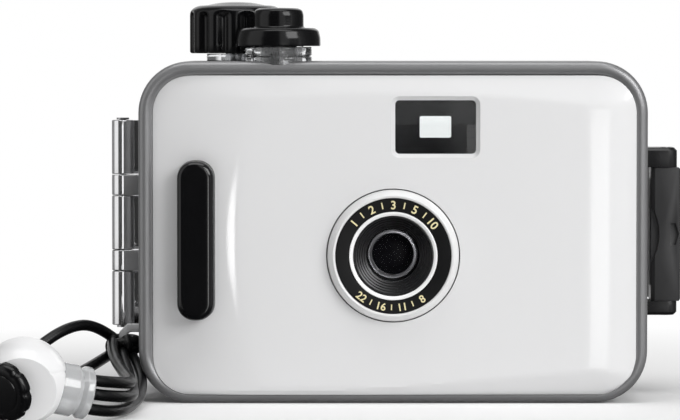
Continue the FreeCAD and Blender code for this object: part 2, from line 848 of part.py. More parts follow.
def make_rear_cover():
    cover = case_outline(0, cover_front_y, cover_back_y)
    cover = cover.makeFillet(cover_edge_radius, edges_at(cover, "Y", cover_back_y))
    cover = cover.cut(case_outline(case_wall, cover_front_y - past, cover_inside_y))
    # The gasket's groove runs in the middle of the wall
    outer = case_outline(gasket_inset - running_gap, cover_front_y - past, gasket_back_y + running_gap)
    inner_inset = gasket_inset + gasket_width + running_gap
    inner = case_outline(inner_inset, cover_front_y - 2 * past, gasket_back_y + past)
    cover = cover.cut(outer.cut(inner))
    # A shallow rest for the thumb and fingers on the back, below the eyepiece
    rest_z = chamber_z0 + cover_rest_rise
    rest = rounded_prism_y(
        -cover_rest_width / 2,
        cover_rest_width / 2,
        rest_z,
        rest_z + cover_rest_height,
        cover_rest_corner,
        cover_back_y - cover_rest_depth,
        cover_back_y + past,
    )
    cover = cover.cut(rest)
    seat_y = cover_back_y - eyepiece_thickness - fit_gap
    seat_corner = eyepiece_corner_radius + fit_gap
    seat = rounded_prism_y(*eyepiece_rect(fit_gap), seat_corner, seat_y, cover_back_y + past)
    sight_y = cover_inside_y - past
    sight = rounded_prism_y(*eyepiece_rect(-eyepiece_ledge), 2 * sight_corner_radius, sight_y, cover_back_y)
    cover = cover.cut(seat).cut(sight)
    for z0, z1, is_long in knuckle_spans():
        if is_long:
            web_y0 = seam_y + 3 * fit_gap
            bore_radius = hinge_pin_radius + running_gap
            cover = cover.fuse(knuckle(z0, z1, web_y0, seam_y + hinge_radius, bore_radius))
    # Ribs that keep the camera from moving back
    for side in (-1, 1):
        x0 = side * back_rib_x - back_rib_thickness / 2
        x1 = x0 + back_rib_thickness
        rib_z = lens_z - back_rib_height / 2
        rib_y = camera_back_y + fit_gap
        rib = block(x0, x1, rib_y, cover_inside_y + overlap, rib_z, rib_z + back_rib_height)
        cover = cover.fuse(rib)
    # The ridge that the latch closes over
    ridge_z = latch_z - catch_length / 2
    ridge = [
        (half_width - overlap, catch_y0),
        (half_width + catch_height, catch_y0 + catch_width * 0.27),
        (half_width + catch_height, catch_y0 + catch_width * 0.87),
        (half_width - overlap, catch_y0 + catch_width),
    ]
    return cover.fuse(polygon_prism([Vector(x, y, ridge_z) for x, y in ridge], Vector(0, 0, catch_length)))


def eyepiece_rect(margin):
    half_x = eyepiece_width / 2 + margin
    half_z = eyepiece_height / 2 + margin
    return (finder_x - half_x, finder_x + half_x, finder_z - half_z, finder_z + half_z)


def make_eyepiece():
    back_y = cover_back_y - running_gap
    return rounded_prism_y(*eyepiece_rect(0), eyepiece_corner_radius, back_y - eyepiece_thickness, back_y)


def make_gasket():
    front_y = cover_front_y - seam_gap / 2
    outer = case_outline(gasket_inset, front_y, gasket_back_y)
    return outer.cut(case_outline(gasket_inset + gasket_width, front_y - past, gasket_back_y + past))


def bracket_screw_heights():
    return (latch_z - bracket_screw_spacing / 2, latch_z + bracket_screw_spacing / 2)


def make_latch():
    lever_x0 = latch_pin_x - latch_lever_thickness / 2
    lever_x1 = latch_pin_x + latch_lever_thickness / 2
    ear_x1 = lever_x1 - latch_ear_step
    low_z = latch_lever_z0 - latch_ear_gap - ear_lower_height
    high_z = latch_lever_z1 + latch_ear_gap + ear_upper_height
    back_y = seam_y - bracket_from_seam
    plate_x = half_width + bracket_thickness
    bracket = block(half_width, plate_x, bracket_screw_y - bracket_plate_front, back_y, low_z, high_z)
    for z0, z1, edge_z in (
        (low_z, low_z + ear_lower_height, low_z),
        (high_z - ear_upper_height, high_z, high_z),
    ):
        ear_x0 = half_width - ear_root
        ear_y0 = latch_pin_y - ear_front
        ear = rounded_prism_z(ear_x0, ear_x1, ear_y0, back_y, ear_corner_radius, z0, z1)
        ear = ear.cut(block(ear_x0 - past, half_width, ear_y0 - past, back_y + past, z0 - past, z1 + past))
        outer = [edge for edge in edges_at(ear, "Z", edge_z) if edge.BoundBox.XMax > half_width + overlap]
        bracket = bracket.fuse(ear.makeChamfer(latch_ear_chamfer, outer))
    bore_radius = latch_pin_radius + press_gap
    bracket = bracket.cut(rod_z(latch_pin_x, latch_pin_y, low_z - past, high_z + past, bore_radius))
    screws = []
    for z in bracket_screw_heights():
        seat_x = plate_x - overlap
        head_x = plate_x - press_gap
        hole_radius = bracket_screw_radius + fit_gap
        seat_radius = bracket_screw_head_radius + fit_gap
        bracket = bracket.cut(rod_x(bracket_screw_y, z, half_width - past, plate_x, hole_radius))
        bracket = bracket.cut(rod_x(bracket_screw_y, z, seat_x, plate_x + past, seat_radius))
        shank = rod_x(bracket_screw_y, z, half_width - bracket_screw_depth, head_x, bracket_screw_radius)
        head = rod_x(bracket_screw_y, z, seat_x + press_gap, head_x, bracket_screw_head_radius)
        half = screw_slot / 2
        reach = bracket_screw_head_radius + overlap
        y0 = bracket_screw_y - reach
        y1 = bracket_screw_y + reach
        slot = block(plate_x - half, plate_x + past, y0, y1, z - half, z + half)
        screws.append(shank.fuse(head).cut(slot))
    save("latch_bracket", bracket)
    save("bracket_screws", Part.makeCompound(screws), solids=2)
    save("latch_pin", rod_z(latch_pin_x, latch_pin_y, low_z - fit_gap, high_z + fit_gap, latch_pin_radius))

    # The lever in plan: its front stands just ahead of the pin, and its tip closes over the ridge
    tip_y = latch_pin_y + latch_lever_reach
    front_y = latch_pin_y - latch_front
    over_ridge_x = half_width + catch_height + 1.1
    hook_x = half_width + catch_height + latch_hook_gap
    plan = [
        (lever_x0 + 0.9, front_y),
        (lever_x1 - 0.6, front_y),
        (lever_x1, front_y + 0.6),
        (lever_x1, latch_pin_y + 5.0),
        (lever_x1 - 1.4, tip_y - 3.0),
        (lever_x1 + 0.6, tip_y - 0.4),
        (lever_x1 + 0.2, tip_y),
        (lever_x1 - 1.8, tip_y - 0.6),
        (hook_x, tip_y - 0.9),
        (hook_x, catch_y0 + 3.5),
        (over_ridge_x, catch_y0 + 2.9),
        (over_ridge_x, catch_y0 - 0.6),
        (lever_x0 + 0.2, catch_y0 - 2.2),
        (lever_x0, front_y + 0.9),
    ]
    points = [Vector(x, y, latch_lever_z0) for x, y in plan]
    lever = polygon_prism(points, Vector(0, 0, latch_length))
    # Corners cut off at the outer top and bottom, seen from the front
    for z, way in ((latch_lever_z1, 1), (latch_lever_z0, -1)):
        corner = [
            Vector(lever_x1 - 1.2, front_y - past, z + way),
            Vector(lever_x1 + 3.0, front_y - past, z + way),
            Vector(lever_x1 + 3.0, front_y - past, z - way * (latch_corner_cut + 1)),
        ]
        lever = lever.cut(polygon_prism(corner, Vector(0, latch_lever_reach + 3 * past + latch_front, 0)))
    # A scoop for the finger tip, round to the outside, and an arrow-shaped mark beside it
    scoop_x = lever_x0 + latch_scoop_reach - latch_scoop_radius
    scoop_y = front_y + latch_scoop_depth
    lever = lever.cut(rod_y(scoop_x, latch_z, front_y - past, scoop_y, latch_scoop_radius))
    points = [Vector(lever_x1 + x, front_y - past, latch_z + z) for x, z in latch_mark]
    lever = lever.cut(polygon_prism(points, Vector(0, past + latch_mark_depth, 0)))
    lever = lever.cut(rod_z(latch_pin_x, latch_pin_y, 0, case_height, latch_pin_radius + running_gap))
    save("latch_lever", lever)


def make_hinge_pin():
    pin = rod_z(hinge_x, seam_y, hinge_base_z - chassis_gap, hinge_top_z + chassis_gap, hinge_pin_radius)
    low_z = hinge_base_z - hinge_pin_head
    for z in (low_z, hinge_top_z + hinge_pin_head / 4):
        head_radius = hinge_pin_radius + hinge_pin_head
        pin = pin.fuse(rod_z(hinge_x, seam_y, z, z + hinge_pin_head * 0.75, head_radius))
    return pin


def slotted_wheel(hub_top):
    """The camera's own thumbwheel, knurled, with the slot that the shaft's blade drives."""
    wheel = rod_z(knob_x, knob_y, wheel_z, wheel_z + thumbwheel_height, thumbwheel_radius)
    for index in range(thumbwheel_knurls):
        groove_x = knob_x + thumbwheel_radius + knurl_radius / 2
        groove = rod_z(groove_x, knob_y, wheel_z - past, wheel_z + thumbwheel_height + past, knurl_radius)
        groove.rotate(Vector(knob_x, knob_y, 0), Vector(0, 0, 1), 360 / thumbwheel_knurls * index)
        wheel = wheel.cut(groove)
    wheel = wheel.fuse(rod_z(knob_x, knob_y, wheel_z, hub_top, hub_radius))
    half = drive_blade / 2 + fit_gap
    reach = hub_radius + past
    floor_z = hub_top - drive_depth - fit_gap
    slot = block(knob_x - reach, knob_x + reach, knob_y - half, knob_y + half, floor_z, hub_top + past)
    return wheel.cut(slot)


def make_winding():
    z0 = knob_base_z
    top = z0 + knob_height
    shoulder = knob_radius - knob_shoulder
    knob = turned_z(
        [
            (0, z0),
            (knob_radius - 0.3, z0),
            (knob_radius, z0 + 0.3),
            (knob_radius, top - knob_round_height),
            (knob_radius - 0.35, top - 2.0),
            (knob_radius - 1.1, top - 1.2),
            (shoulder, top - 0.85),
            (shoulder - 1.9, top - 0.8),
            (shoulder - 3.8, top - 0.3),
            (shoulder - 6.0, top - 0.08),
            (0, top),
        ],
        knob_x,
        knob_y,
    )
    # Grooves between the ribs, closed above by the shoulder
    groove_x = knob_x + knob_radius + knob_flute_radius - knob_flute_depth
    for index in range(knob_flutes):
        groove = rod_z(groove_x, knob_y, z0 - past, top - knob_round_height - fit_gap, knob_flute_radius)
        groove.rotate(Vector(knob_x, knob_y, 0), Vector(0, 0, 1), 360 / knob_flutes * (index + 0.5))
        knob = knob.cut(groove)
    shaft_top = top - knob_roof
    knob = knob.cut(rod_z(knob_x, knob_y, z0 - past, shaft_top + fit_gap, shaft_radius + press_gap))
    save("winding_knob", knob)
    hub_top = camera_top + hub_stand
    shaft = rod_z(knob_x, knob_y, hub_top + fit_gap, shaft_top, shaft_radius)
    half = drive_blade / 2
    reach = shaft_radius - fit_gap
    blade_z0 = hub_top - drive_depth
    blade_z1 = hub_top + 3 * fit_gap
    blade = block(knob_x - reach, knob_x + reach, knob_y - half, knob_y + half, blade_z0, blade_z1)
    save("winding_shaft", shaft.fuse(blade))
    seal_inner = shaft_radius + seal_bite
    seal_outer = seal_inner + seal_width
    seal_top = winding_seal_z + seal_thickness
    save("winding_seal", ring_z(knob_x, knob_y, winding_seal_z, seal_top, seal_outer, seal_inner))
    collar_top = case_height + knob_collar_height
    collar_bore = shaft_radius + fit_gap
    save("knob_collar", ring_z(knob_x, knob_y, case_height, collar_top, knob_collar_radius, collar_bore))
    save("thumbwheel", slotted_wheel(hub_top))
    end_gap = 3 * fit_gap
    spool = rod_z(knob_x, knob_y, chamber_z0 + end_gap, chamber_z1 - end_gap, spool_radius)
    pivot_z = chassis_z0 + end_gap + fit_gap
    spool = spool.fuse(rod_z(knob_x, knob_y, pivot_z, chamber_z0 + past, spool_pivot_radius))
    spool = spool.fuse(rod_z(knob_x, knob_y, chamber_z1 - past, wheel_z, hub_radius))
    # The slit that takes the film's tongue
    reach = spool_radius + past
    low_z = lens_z - spool_slit_half
    high_z = lens_z + spool_slit_half
    slit = block(knob_x - reach, knob_x + reach, knob_y - overlap, knob_y + overlap, low_z, high_z)
    save("take_up_spool", spool.cut(slit))


def make_button():
    step_z = case_height + button_collar_notch_rise
    bore = button_plunger_radius + running_gap
    collar = turned_z(
        [
            (bore, button_collar_z),
            (button_collar_radius, button_collar_z),
            (button_collar_radius, step_z - 0.3),
            (button_collar_radius - button_collar_notch, step_z),
            (button_collar_radius, step_z + 0.3),
            (button_collar_radius, button_collar_top - 0.2),
            (button_collar_radius - 0.2, button_collar_top),
            (bore, button_collar_top),
        ],
        button_x,
        button_y,
    )
    save("button_collar", collar)
    skirt_z = button_collar_top + chassis_gap
    flange_top = skirt_z + button_flange_height
    cap_top = flange_top + button_top_height
    cap = turned_z(
        [
            (0, skirt_z),
            (button_radius, skirt_z),
            (button_radius - 0.1, skirt_z + 2.0),
            (button_radius - 0.45, flange_top - 0.6),
            (button_radius - 1.1, flange_top),
            (button_top_radius, flange_top),
            (button_top_radius, cap_top - 1.3),
            (button_top_radius - 0.4, cap_top - 0.4),
            (button_top_radius - 1.3, cap_top),
            (0, cap_top + 0.15),
        ],
        button_x,
        button_y,
    )
    room_radius = button_collar_radius + 3.5 * fit_gap
    save("button_cap", cap.cut(rod_z(button_x, button_y, skirt_z - past, button_roof_z, room_radius)))
    plunger = rod_z(button_x, button_y, button_plunger_z, button_roof_z, button_plunger_radius)
    arm_z0 = camera_top + button_arm_rise
    arm_z1 = arm_z0 + button_arm_height
    plunger = plunger.fuse(rod_z(button_x, button_y, arm_z0, button_plunger_z + overlap, button_stem_radius))
    half = button_arm_width / 2
    arm = rounded_prism_z(
        button_x - half, button_x + half, button_y - half, release_y + 3, half - fit_gap, arm_z0, arm_z1
    )
    save("button_plunger", plunger.fuse(arm))
    seal_inner = button_plunger_radius + seal_bite
    seal_outer = button_plunger_radius + seal_width - running_gap
    save(
        "button_seal",
        ring_z(button_x, button_y, button_seal_z, button_seal_z + seal_thickness, seal_outer, seal_inner),
    )
    spring = coil_spring(
        button_spring_radius,
        button_spring_wire,
        button_collar_top + press_gap,
        button_roof_z - press_gap,
        button_spring_turns,
    )
    spring.translate(Vector(button_x, button_y, 0))
    save("button_spring", spring)
    release = rod_z(button_x, release_y, camera_top - release_sink, arm_z0 - chassis_gap, release_radius)
    flange_z1 = camera_top - camera_wall - chassis_gap
    flange_z0 = flange_z1 - release_flange_height
    flange_radius = release_radius + release_flange_width
    release = release.fuse(rod_z(button_x, release_y, flange_z0, flange_z1, flange_radius))
    pin_z = camera_deck_z + button_travel + 2 * chassis_gap
    release = release.fuse(rod_z(button_x, release_y, pin_z, camera_top - 3, release_pin_radius))
    save("release_button", release)


def biarc_edges(p0, t0, p1, t1):
    """Two arcs that leave p0 along t0, meet without a corner, and reach p1 along t1."""
    chord = p1 - p0
    total = t0 + t1
    a = 2 * (1 - t0.dot(t1))
    b = 2 * chord.dot(total)
    c = -chord.dot(chord)
    reach = -c / b if abs(a) < 1e-9 else (-b + math.sqrt(b * b - 4 * a * c)) / (2 * a)
    meet = (p0 + t0 * reach + p1 - t1 * reach) * 0.5
    return [tangent_arc(p0, t0, meet), tangent_arc(p1, t1 * -1, meet)]


def tangent_arc(start, tangent, end):
    """An arc from start along tangent to end, or a line where they are in line."""
    chord = end - start
    side = tangent - chord * (tangent.dot(chord) / chord.dot(chord))
    if side.Length < 1e-7:
        return Part.LineSegment(start, end).toShape()
    angle = tangent.getAngle(chord)
    side.normalize()
    middle = (start + end) * 0.5 + side * (chord.Length / 2 * math.tan(angle / 2))
    return Part.Arc(start, middle, end).toShape()


def swept_tube(edges, start, tangent, radius):
    path = Part.Wire(Part.__sortEdges__(edges))
    section = Part.Wire([Part.makeCircle(radius, start, tangent)])
    return path.makePipeShell([section], True, False)


def coil_spring(mid_radius, wire, z0, z1, turns):
    """A round spring along Z, whose ends lie level with its seats."""
    low = z0 + wire / 2
    rise = (z1 - z0 - wire) / (2 * math.pi * turns)
    steps = round(turns * 4)
    turn = 2 * math.pi * turns / steps
    places = []
    for index in range(steps + 1):
        angle = index * turn
        place = Vector(mid_radius * math.cos(angle), mid_radius * math.sin(angle), low + rise * angle)
        tangent = Vector(-mid_radius * math.sin(angle), mid_radius * math.cos(angle), rise)
        tangent.normalize()
        places.append((place, tangent))
    first, first_way = places[0]
    last, last_way = places[-1]
    start = first - first_way * wire
    edges = [Part.LineSegment(start, first).toShape()]
    for (p0, t0), (p1, t1) in zip(places, places[1:]):
        edges += biarc_edges(p0, t0, p1, t1)
    edges.append(Part.LineSegment(last, last + last_way * wire).toShape())
    print(f"spring: least gap between curls {rise * 2 * math.pi - wire:.2f} mm")
    return swept_tube(edges, start, first_way, wire / 2)


def camera_prism(inset, y0, y1):
    half = camera_half_width - inset
    radius = camera_corner_radius - inset
    return rounded_prism_y(-half, half, camera_bottom + inset, camera_top - inset, radius, y0, y1)


def camera_slice(z0, z1):
    """A slab across the whole camera between two heights."""
    reach = 2 * camera_half_width
    return block(-reach, reach, -reach, reach, z0, z1)


def screw_places():
    x = camera_half_width - camera_screw_inset
    heights = (chamber_z0 + camera_screw_low, chamber_z1 - camera_screw_high)
    return [(side * x, z) for side in (-1, 1) for z in heights]


def make_camera_covers():
    front_y = camera_front_y
    cover = camera_prism(0, front_y, film_y + 3 * fit_gap).common(camera_slice(0, camera_deck_z))
    cover = cover.cut(camera_prism(camera_wall, front_y + camera_wall, film_y + past))
    cover = cover.cut(rod_y(0, lens_z, front_y - past, front_y + 3, barrel_radius + chassis_gap))
    hole_radius = camera_screw_radius + 1.5 * fit_gap
    for x, z in screw_places():
        cover = cover.cut(rod_y(x, z, front_y - past, front_y + 3, hole_radius))
        cover = cover.cut(rod_y(x, z, front_y - past, front_y + 0.8, camera_screw_head_radius + chassis_gap))
    save("camera_front_cover", cover)
    top = camera_prism(0, front_y, camera_back_y).common(camera_slice(camera_deck_z, case_height))
    top = top.cut(camera_prism(camera_wall, front_y + camera_wall, camera_back_y - camera_wall))
    tunnel_z0 = camera_deck_z + 0.9
    tunnel_z1 = tunnel_z0 + tunnel_height
    x0 = finder_x - tunnel_width / 2
    x1 = finder_x + tunnel_width / 2
    roof_z = camera_top - camera_wall + chassis_gap
    floor_z = camera_deck_z + running_gap
    tunnel = block(x0 - tunnel_wall, x1 + tunnel_wall, front_y, camera_back_y, floor_z, roof_z)
    sight = block(x0, x1, front_y - past, camera_back_y + past, tunnel_z0, tunnel_z1)
    top = top.fuse(tunnel).cut(sight)
    for x, y, radius in (
        (knob_x, knob_y, hub_radius),
        (button_x, release_y, release_radius),
        (rewind_x, rewind_y, shaft_radius),
    ):
        top = top.cut(rod_z(x, y, camera_top - 3, camera_top + past, radius + fit_gap))
    # The window over the counter dial, and the thumb's notch at the back
    window = rounded_prism_z(
        sprocket_x + counter_window_near,
        sprocket_x + counter_window_far,
        sprocket_y - counter_window_width / 2,
        sprocket_y + counter_window_width / 2,
        1.0,
        camera_top - 3,
        camera_top + past,
    )
    notch_y = camera_back_y + thumb_notch_back
    notch_top = camera_deck_z + thumb_notch_height
    notch = rod_z(knob_x, notch_y, camera_deck_z - past, notch_top, thumb_notch_radius)
    save("camera_top_cover", top.cut(window).cut(notch))
    pane = (x0 + fit_gap, x1 - fit_gap, tunnel_z0 + fit_gap, tunnel_z1 - fit_gap, sight_corner_radius)
    set_in = 3 * fit_gap
    pane_y = front_y + set_in
    save("finder_front_lens", rounded_prism_y(*pane, pane_y, pane_y + finder_lens_thickness))
    pane_y = camera_back_y - set_in
    save("finder_rear_lens", rounded_prism_y(*pane, pane_y - finder_lens_thickness, pane_y))
    screws = []
    for x, z in screw_places():
        shank = rod_y(x, z, front_y + 0.7, front_y + camera_screw_length, camera_screw_radius)
        head = rod_y(x, z, front_y + fit_gap, front_y + 0.78, camera_screw_head_radius)
        half = screw_slot / 2
        slot = block(x - half, x + half, front_y - past, front_y + screw_slot, z - 2, z + 2)
        screws.append(shank.fuse(head).cut(slot))
    save("camera_screws", Part.makeCompound(screws), solids=4)


def four_sided(width, height, y):
    w = width / 2
    h = height / 2
    corners = ((-w, -h), (w, -h), (w, h), (-w, h), (-w, -h))
    return Part.makePolygon([Vector(x, y, lens_z + z) for x, z in corners])


def make_chassis():
    front_y = chassis_front_y
    back_y = chassis_back_y
    top_z = chassis_top_z
    body = camera_prism(camera_wall + chassis_gap, front_y, back_y).common(camera_slice(0, top_z))
    # Cassette chamber on the right, take-up chamber on the left, both open to the back
    for x, y, radius in (
        (rewind_x, rewind_y, cassette_chamber_radius),
        (knob_x, knob_y, take_up_chamber_radius),
    ):
        body = body.cut(rod_z(x, y, chamber_z0, chamber_z1, radius))
        body = body.cut(block(x - radius, x + radius, y, back_y + past, chamber_z0, chamber_z1))
    bay_radius = sprocket_radius + sprocket_bay_room
    body = body.cut(rod_z(sprocket_x, sprocket_y, chamber_z0, chamber_z1, bay_radius))
    bay_x0 = sprocket_x - sprocket_radius
    bay_x1 = sprocket_x + sprocket_radius - overlap
    body = body.cut(block(bay_x0, bay_x1, sprocket_y, back_y + past, chamber_z0, chamber_z1))
    # The light's way from the lens widens to the film gate
    near = four_sided(light_way_width, light_way_width, shutter_pocket_y - fit_gap)
    far = four_sided(gate_width, gate_height, film_y + fit_gap)
    body = body.cut(Part.makeLoft([near, far], True, True))
    track_z0 = lens_z - film_track_height / 2
    track_z1 = lens_z + film_track_height / 2
    track_x0 = -gate_width / 2 - film_track_end
    track_x1 = rewind_x - cassette_chamber_radius + chassis_gap
    body = body.cut(block(track_x0, track_x1, film_y, back_y + past, track_z0, track_z1))
    # The shutter's pocket behind the lens, with four bosses for the plate
    half = shutter_pocket_width / 2
    body = body.cut(block(-half, half, front_y - past, shutter_pocket_y, track_z0, track_z1))
    for angle in (60, 120, 240, 300):
        x = shutter_boss_circle * math.cos(math.radians(angle))
        z = lens_z + shutter_boss_circle * math.sin(math.radians(angle))
        boss_y = shutter_plate_y + shutter_plate_thickness
        body = body.fuse(rod_y(x, z, boss_y, shutter_pocket_y + overlap, shutter_boss_radius))
    # Bearings for the spool and the sprocket in the floor
    for x, y, rise, radius in (
        (knob_x, knob_y, 3 * fit_gap, spool_pivot_radius),
        (sprocket_x, sprocket_y, sprocket_shaft_low - chassis_gap, sprocket_shaft_radius),
    ):
        body = body.cut(rod_z(x, y, chassis_z0 + rise, chamber_z0 + past, radius + running_gap))
    # Bearings for the spool, the sprocket and the rewind shaft in the deck
    for x, y, radius in (
        (knob_x, knob_y, hub_radius),
        (sprocket_x, sprocket_y, sprocket_shaft_radius),
        (rewind_x, rewind_y, shaft_radius),
    ):
        body = body.cut(rod_z(x, y, chamber_z1 - past, top_z + past, radius + running_gap))
    for x, z in screw_places():
        screw_end = camera_front_y + camera_screw_length + chassis_gap
        body = body.cut(rod_y(x, z, front_y - past, screw_end, camera_screw_radius + running_gap))
    # Ears that carry the film door
    ear_x0 = door_pivot_x - door_ear_half
    ear_x1 = door_pivot_x + door_ear_half
    for z0, z1 in door_ear_spans():
        body = body.fuse(block(ear_x0, ear_x1, film_y + overlap, door_pivot_y + door_ear_half, z0, z1))
        bore_radius = door_pivot_radius + running_gap
        body = body.cut(rod_z(door_pivot_x, door_pivot_y, z0 - past, z1 + past, bore_radius))
    save("camera_chassis", body)


def door_ear_spans():
    low_z = chamber_z0 + door_ear_from_end
    high_z = chamber_z1 - door_ear_from_end
    return ((low_z, low_z + door_ear_height), (high_z - door_ear_height, high_z))


def make_film_door():
    front_y = door_front_y
    edge_x = door_pivot_x + door_edge_from_pivot
    top_z = camera_deck_z - chassis_gap
    slab = block(edge_x, camera_half_width, front_y, camera_back_y, camera_bottom, top_z)
    door = camera_prism(door_side_gap, front_y, camera_back_y).common(slab)
    hollow_x = camera_half_width - door_margin
    hollow_z0 = camera_bottom + door_margin
    hollow_z1 = camera_deck_z - door_margin
    door = door.cut(block(-hollow_x, hollow_x, front_y - past, front_y + door_hollow, hollow_z0, hollow_z1))
    room_x = door_pivot_x + door_ear_room
    for z0, z1 in door_ear_spans():
        z0 -= 3 * fit_gap
        z1 += 3 * fit_gap
        door = door.cut(block(door_pivot_x, room_x, front_y - past, camera_back_y + past, z0, z1))
    low_ear, high_ear = door_ear_spans()
    low_z = low_ear[1] + chassis_gap
    high_z = high_ear[0] - chassis_gap
    barrel = rod_z(door_pivot_x, door_pivot_y, low_z, high_z, door_barrel_radius)
    web_x = door_pivot_x + door_web
    web = block(door_pivot_x, web_x, front_y + fit_gap, camera_back_y - chassis_gap, low_z, high_z)
    pivot_z0 = low_ear[0] + chassis_gap
    pivot_z1 = high_ear[1] - chassis_gap
    pivot = rod_z(door_pivot_x, door_pivot_y, pivot_z0, pivot_z1, door_pivot_radius)
    save("film_door", door.fuse(web).fuse(barrel).fuse(pivot))
    plate_y = film_y + pressure_plate_from_film
    plate_back_y = plate_y + pressure_plate_thickness
    plate_x0 = -gate_width / 2 - pressure_plate_overhang
    plate_x1 = rewind_x - cassette_chamber_radius - 4 * fit_gap
    half = film_track_height / 2 - pressure_plate_side_gap
    plate = rounded_prism_y(
        plate_x0, plate_x1, lens_z - half, lens_z + half, pressure_plate_corner_radius, plate_y, plate_back_y
    )
    save("pressure_plate", plate)
    # A bowed leaf between the plate and the door
    near_y = plate_back_y + running_gap
    far_y = front_y + door_hollow - running_gap
    x0 = leaf_spring_x - leaf_spring_length / 2
    x1 = leaf_spring_x + leaf_spring_length / 2
    edges = [
        Part.Arc(
            Vector(x0, far_y - leaf_spring_thickness, 0),
            Vector(leaf_spring_x, near_y, 0),
            Vector(x1, far_y - leaf_spring_thickness, 0),
        ),
        Part.LineSegment(Vector(x1, far_y - leaf_spring_thickness, 0), Vector(x1, far_y, 0)),
        Part.Arc(
            Vector(x1, far_y, 0),
            Vector(leaf_spring_x, near_y + leaf_spring_thickness, 0),
            Vector(x0, far_y, 0),
        ),
        Part.LineSegment(Vector(x0, far_y, 0), Vector(x0, far_y - leaf_spring_thickness, 0)),
    ]
    face = Part.Face(Part.Wire([edge.toShape() for edge in edges]))
    leaf = face.extrude(Vector(0, 0, leaf_spring_width))
    leaf.translate(Vector(0, 0, lens_z - leaf_spring_width / 2))
    save("pressure_spring", leaf)


def make_lens_and_shutter():
    plate_y = shutter_plate_y
    plate_back_y = plate_y + shutter_plate_thickness
    back_y = plate_y - fit_gap
    flange_y = back_y - barrel_flange_thickness
    rear_seat_y = back_y - rear_element_thickness - fit_gap
    front_y = camera_front_y - fit_gap
    front_seat_y = camera_front_y + front_element_depth
    front_bore = front_element_radius + running_gap
    rear_bore = rear_element_radius + running_gap
    barrel = [
        (front_bore, front_y),
        (barrel_radius, front_y),
        (barrel_radius, flange_y),
        (barrel_flange_radius, flange_y),
        (barrel_flange_radius, back_y),
        (rear_bore, back_y),
        (rear_bore, rear_seat_y),
        (lens_throat_radius, rear_seat_y),
        (lens_throat_radius, front_seat_y),
        (front_bore, front_seat_y),
    ]
    save("lens_barrel", turned_y(barrel, 0, lens_z))
    element_back_y = front_seat_y - fit_gap
    bulge = [(0, element_back_y), (front_element_radius, element_back_y)]
    for step in range(9):
        share = 1 - step / 8
        bulge_y = camera_front_y + 1.5 * fit_gap + front_element_bulge * share**2
        bulge.append((front_element_radius * share, bulge_y))
    save("front_element", turned_y(bulge, 0, lens_z))
    rear_y = rear_seat_y + running_gap
    save("rear_element", rod_y(0, lens_z, rear_y, rear_y + rear_element_thickness, rear_element_radius))
    plate = rod_y(0, lens_z, plate_y, plate_back_y, shutter_plate_radius)
    plate = plate.cut(rod_y(0, lens_z, plate_y - past, plate_back_y + past, aperture_radius))
    pin = rod_y(leaf_arm, lens_z, plate_back_y - chassis_gap, shutter_pocket_y - fit_gap, leaf_pin_radius)
    save("shutter_plate", plate.fuse(pin))
    leaf_y = plate_back_y + leaf_thickness * 0.7
    leaf = rod_y(0, lens_z, leaf_y, leaf_y + leaf_thickness, leaf_radius)
    eye_radius = leaf_radius / 2
    arm = [
        Vector(1, leaf_y, lens_z - leaf_radius * 0.6),
        Vector(leaf_arm, leaf_y, lens_z - eye_radius * 0.8),
        Vector(leaf_arm, leaf_y, lens_z + eye_radius * 0.8),
        Vector(1, leaf_y, lens_z + leaf_radius * 0.6),
    ]
    leaf = leaf.fuse(polygon_prism(arm, Vector(0, leaf_thickness, 0)))
    leaf = leaf.fuse(rod_y(leaf_arm, lens_z, leaf_y, leaf_y + leaf_thickness, eye_radius))
    eye = rod_y(leaf_arm, lens_z, leaf_y - past, leaf_y + past, leaf_pin_radius + running_gap)
    save("shutter_leaf", leaf.cut(eye))


def star_prism(x, y, z0, z1, outer, inner, teeth):
    points = []
    for index in range(teeth):
        for share, radius in ((-0.22, inner), (-0.1, outer), (0.1, outer), (0.22, inner)):
            angle = 2 * math.pi * (index + share) / teeth
            points.append(Vector(x + radius * math.cos(angle), y + radius * math.sin(angle), z0))
    return polygon_prism(points, Vector(0, 0, z1 - z0))


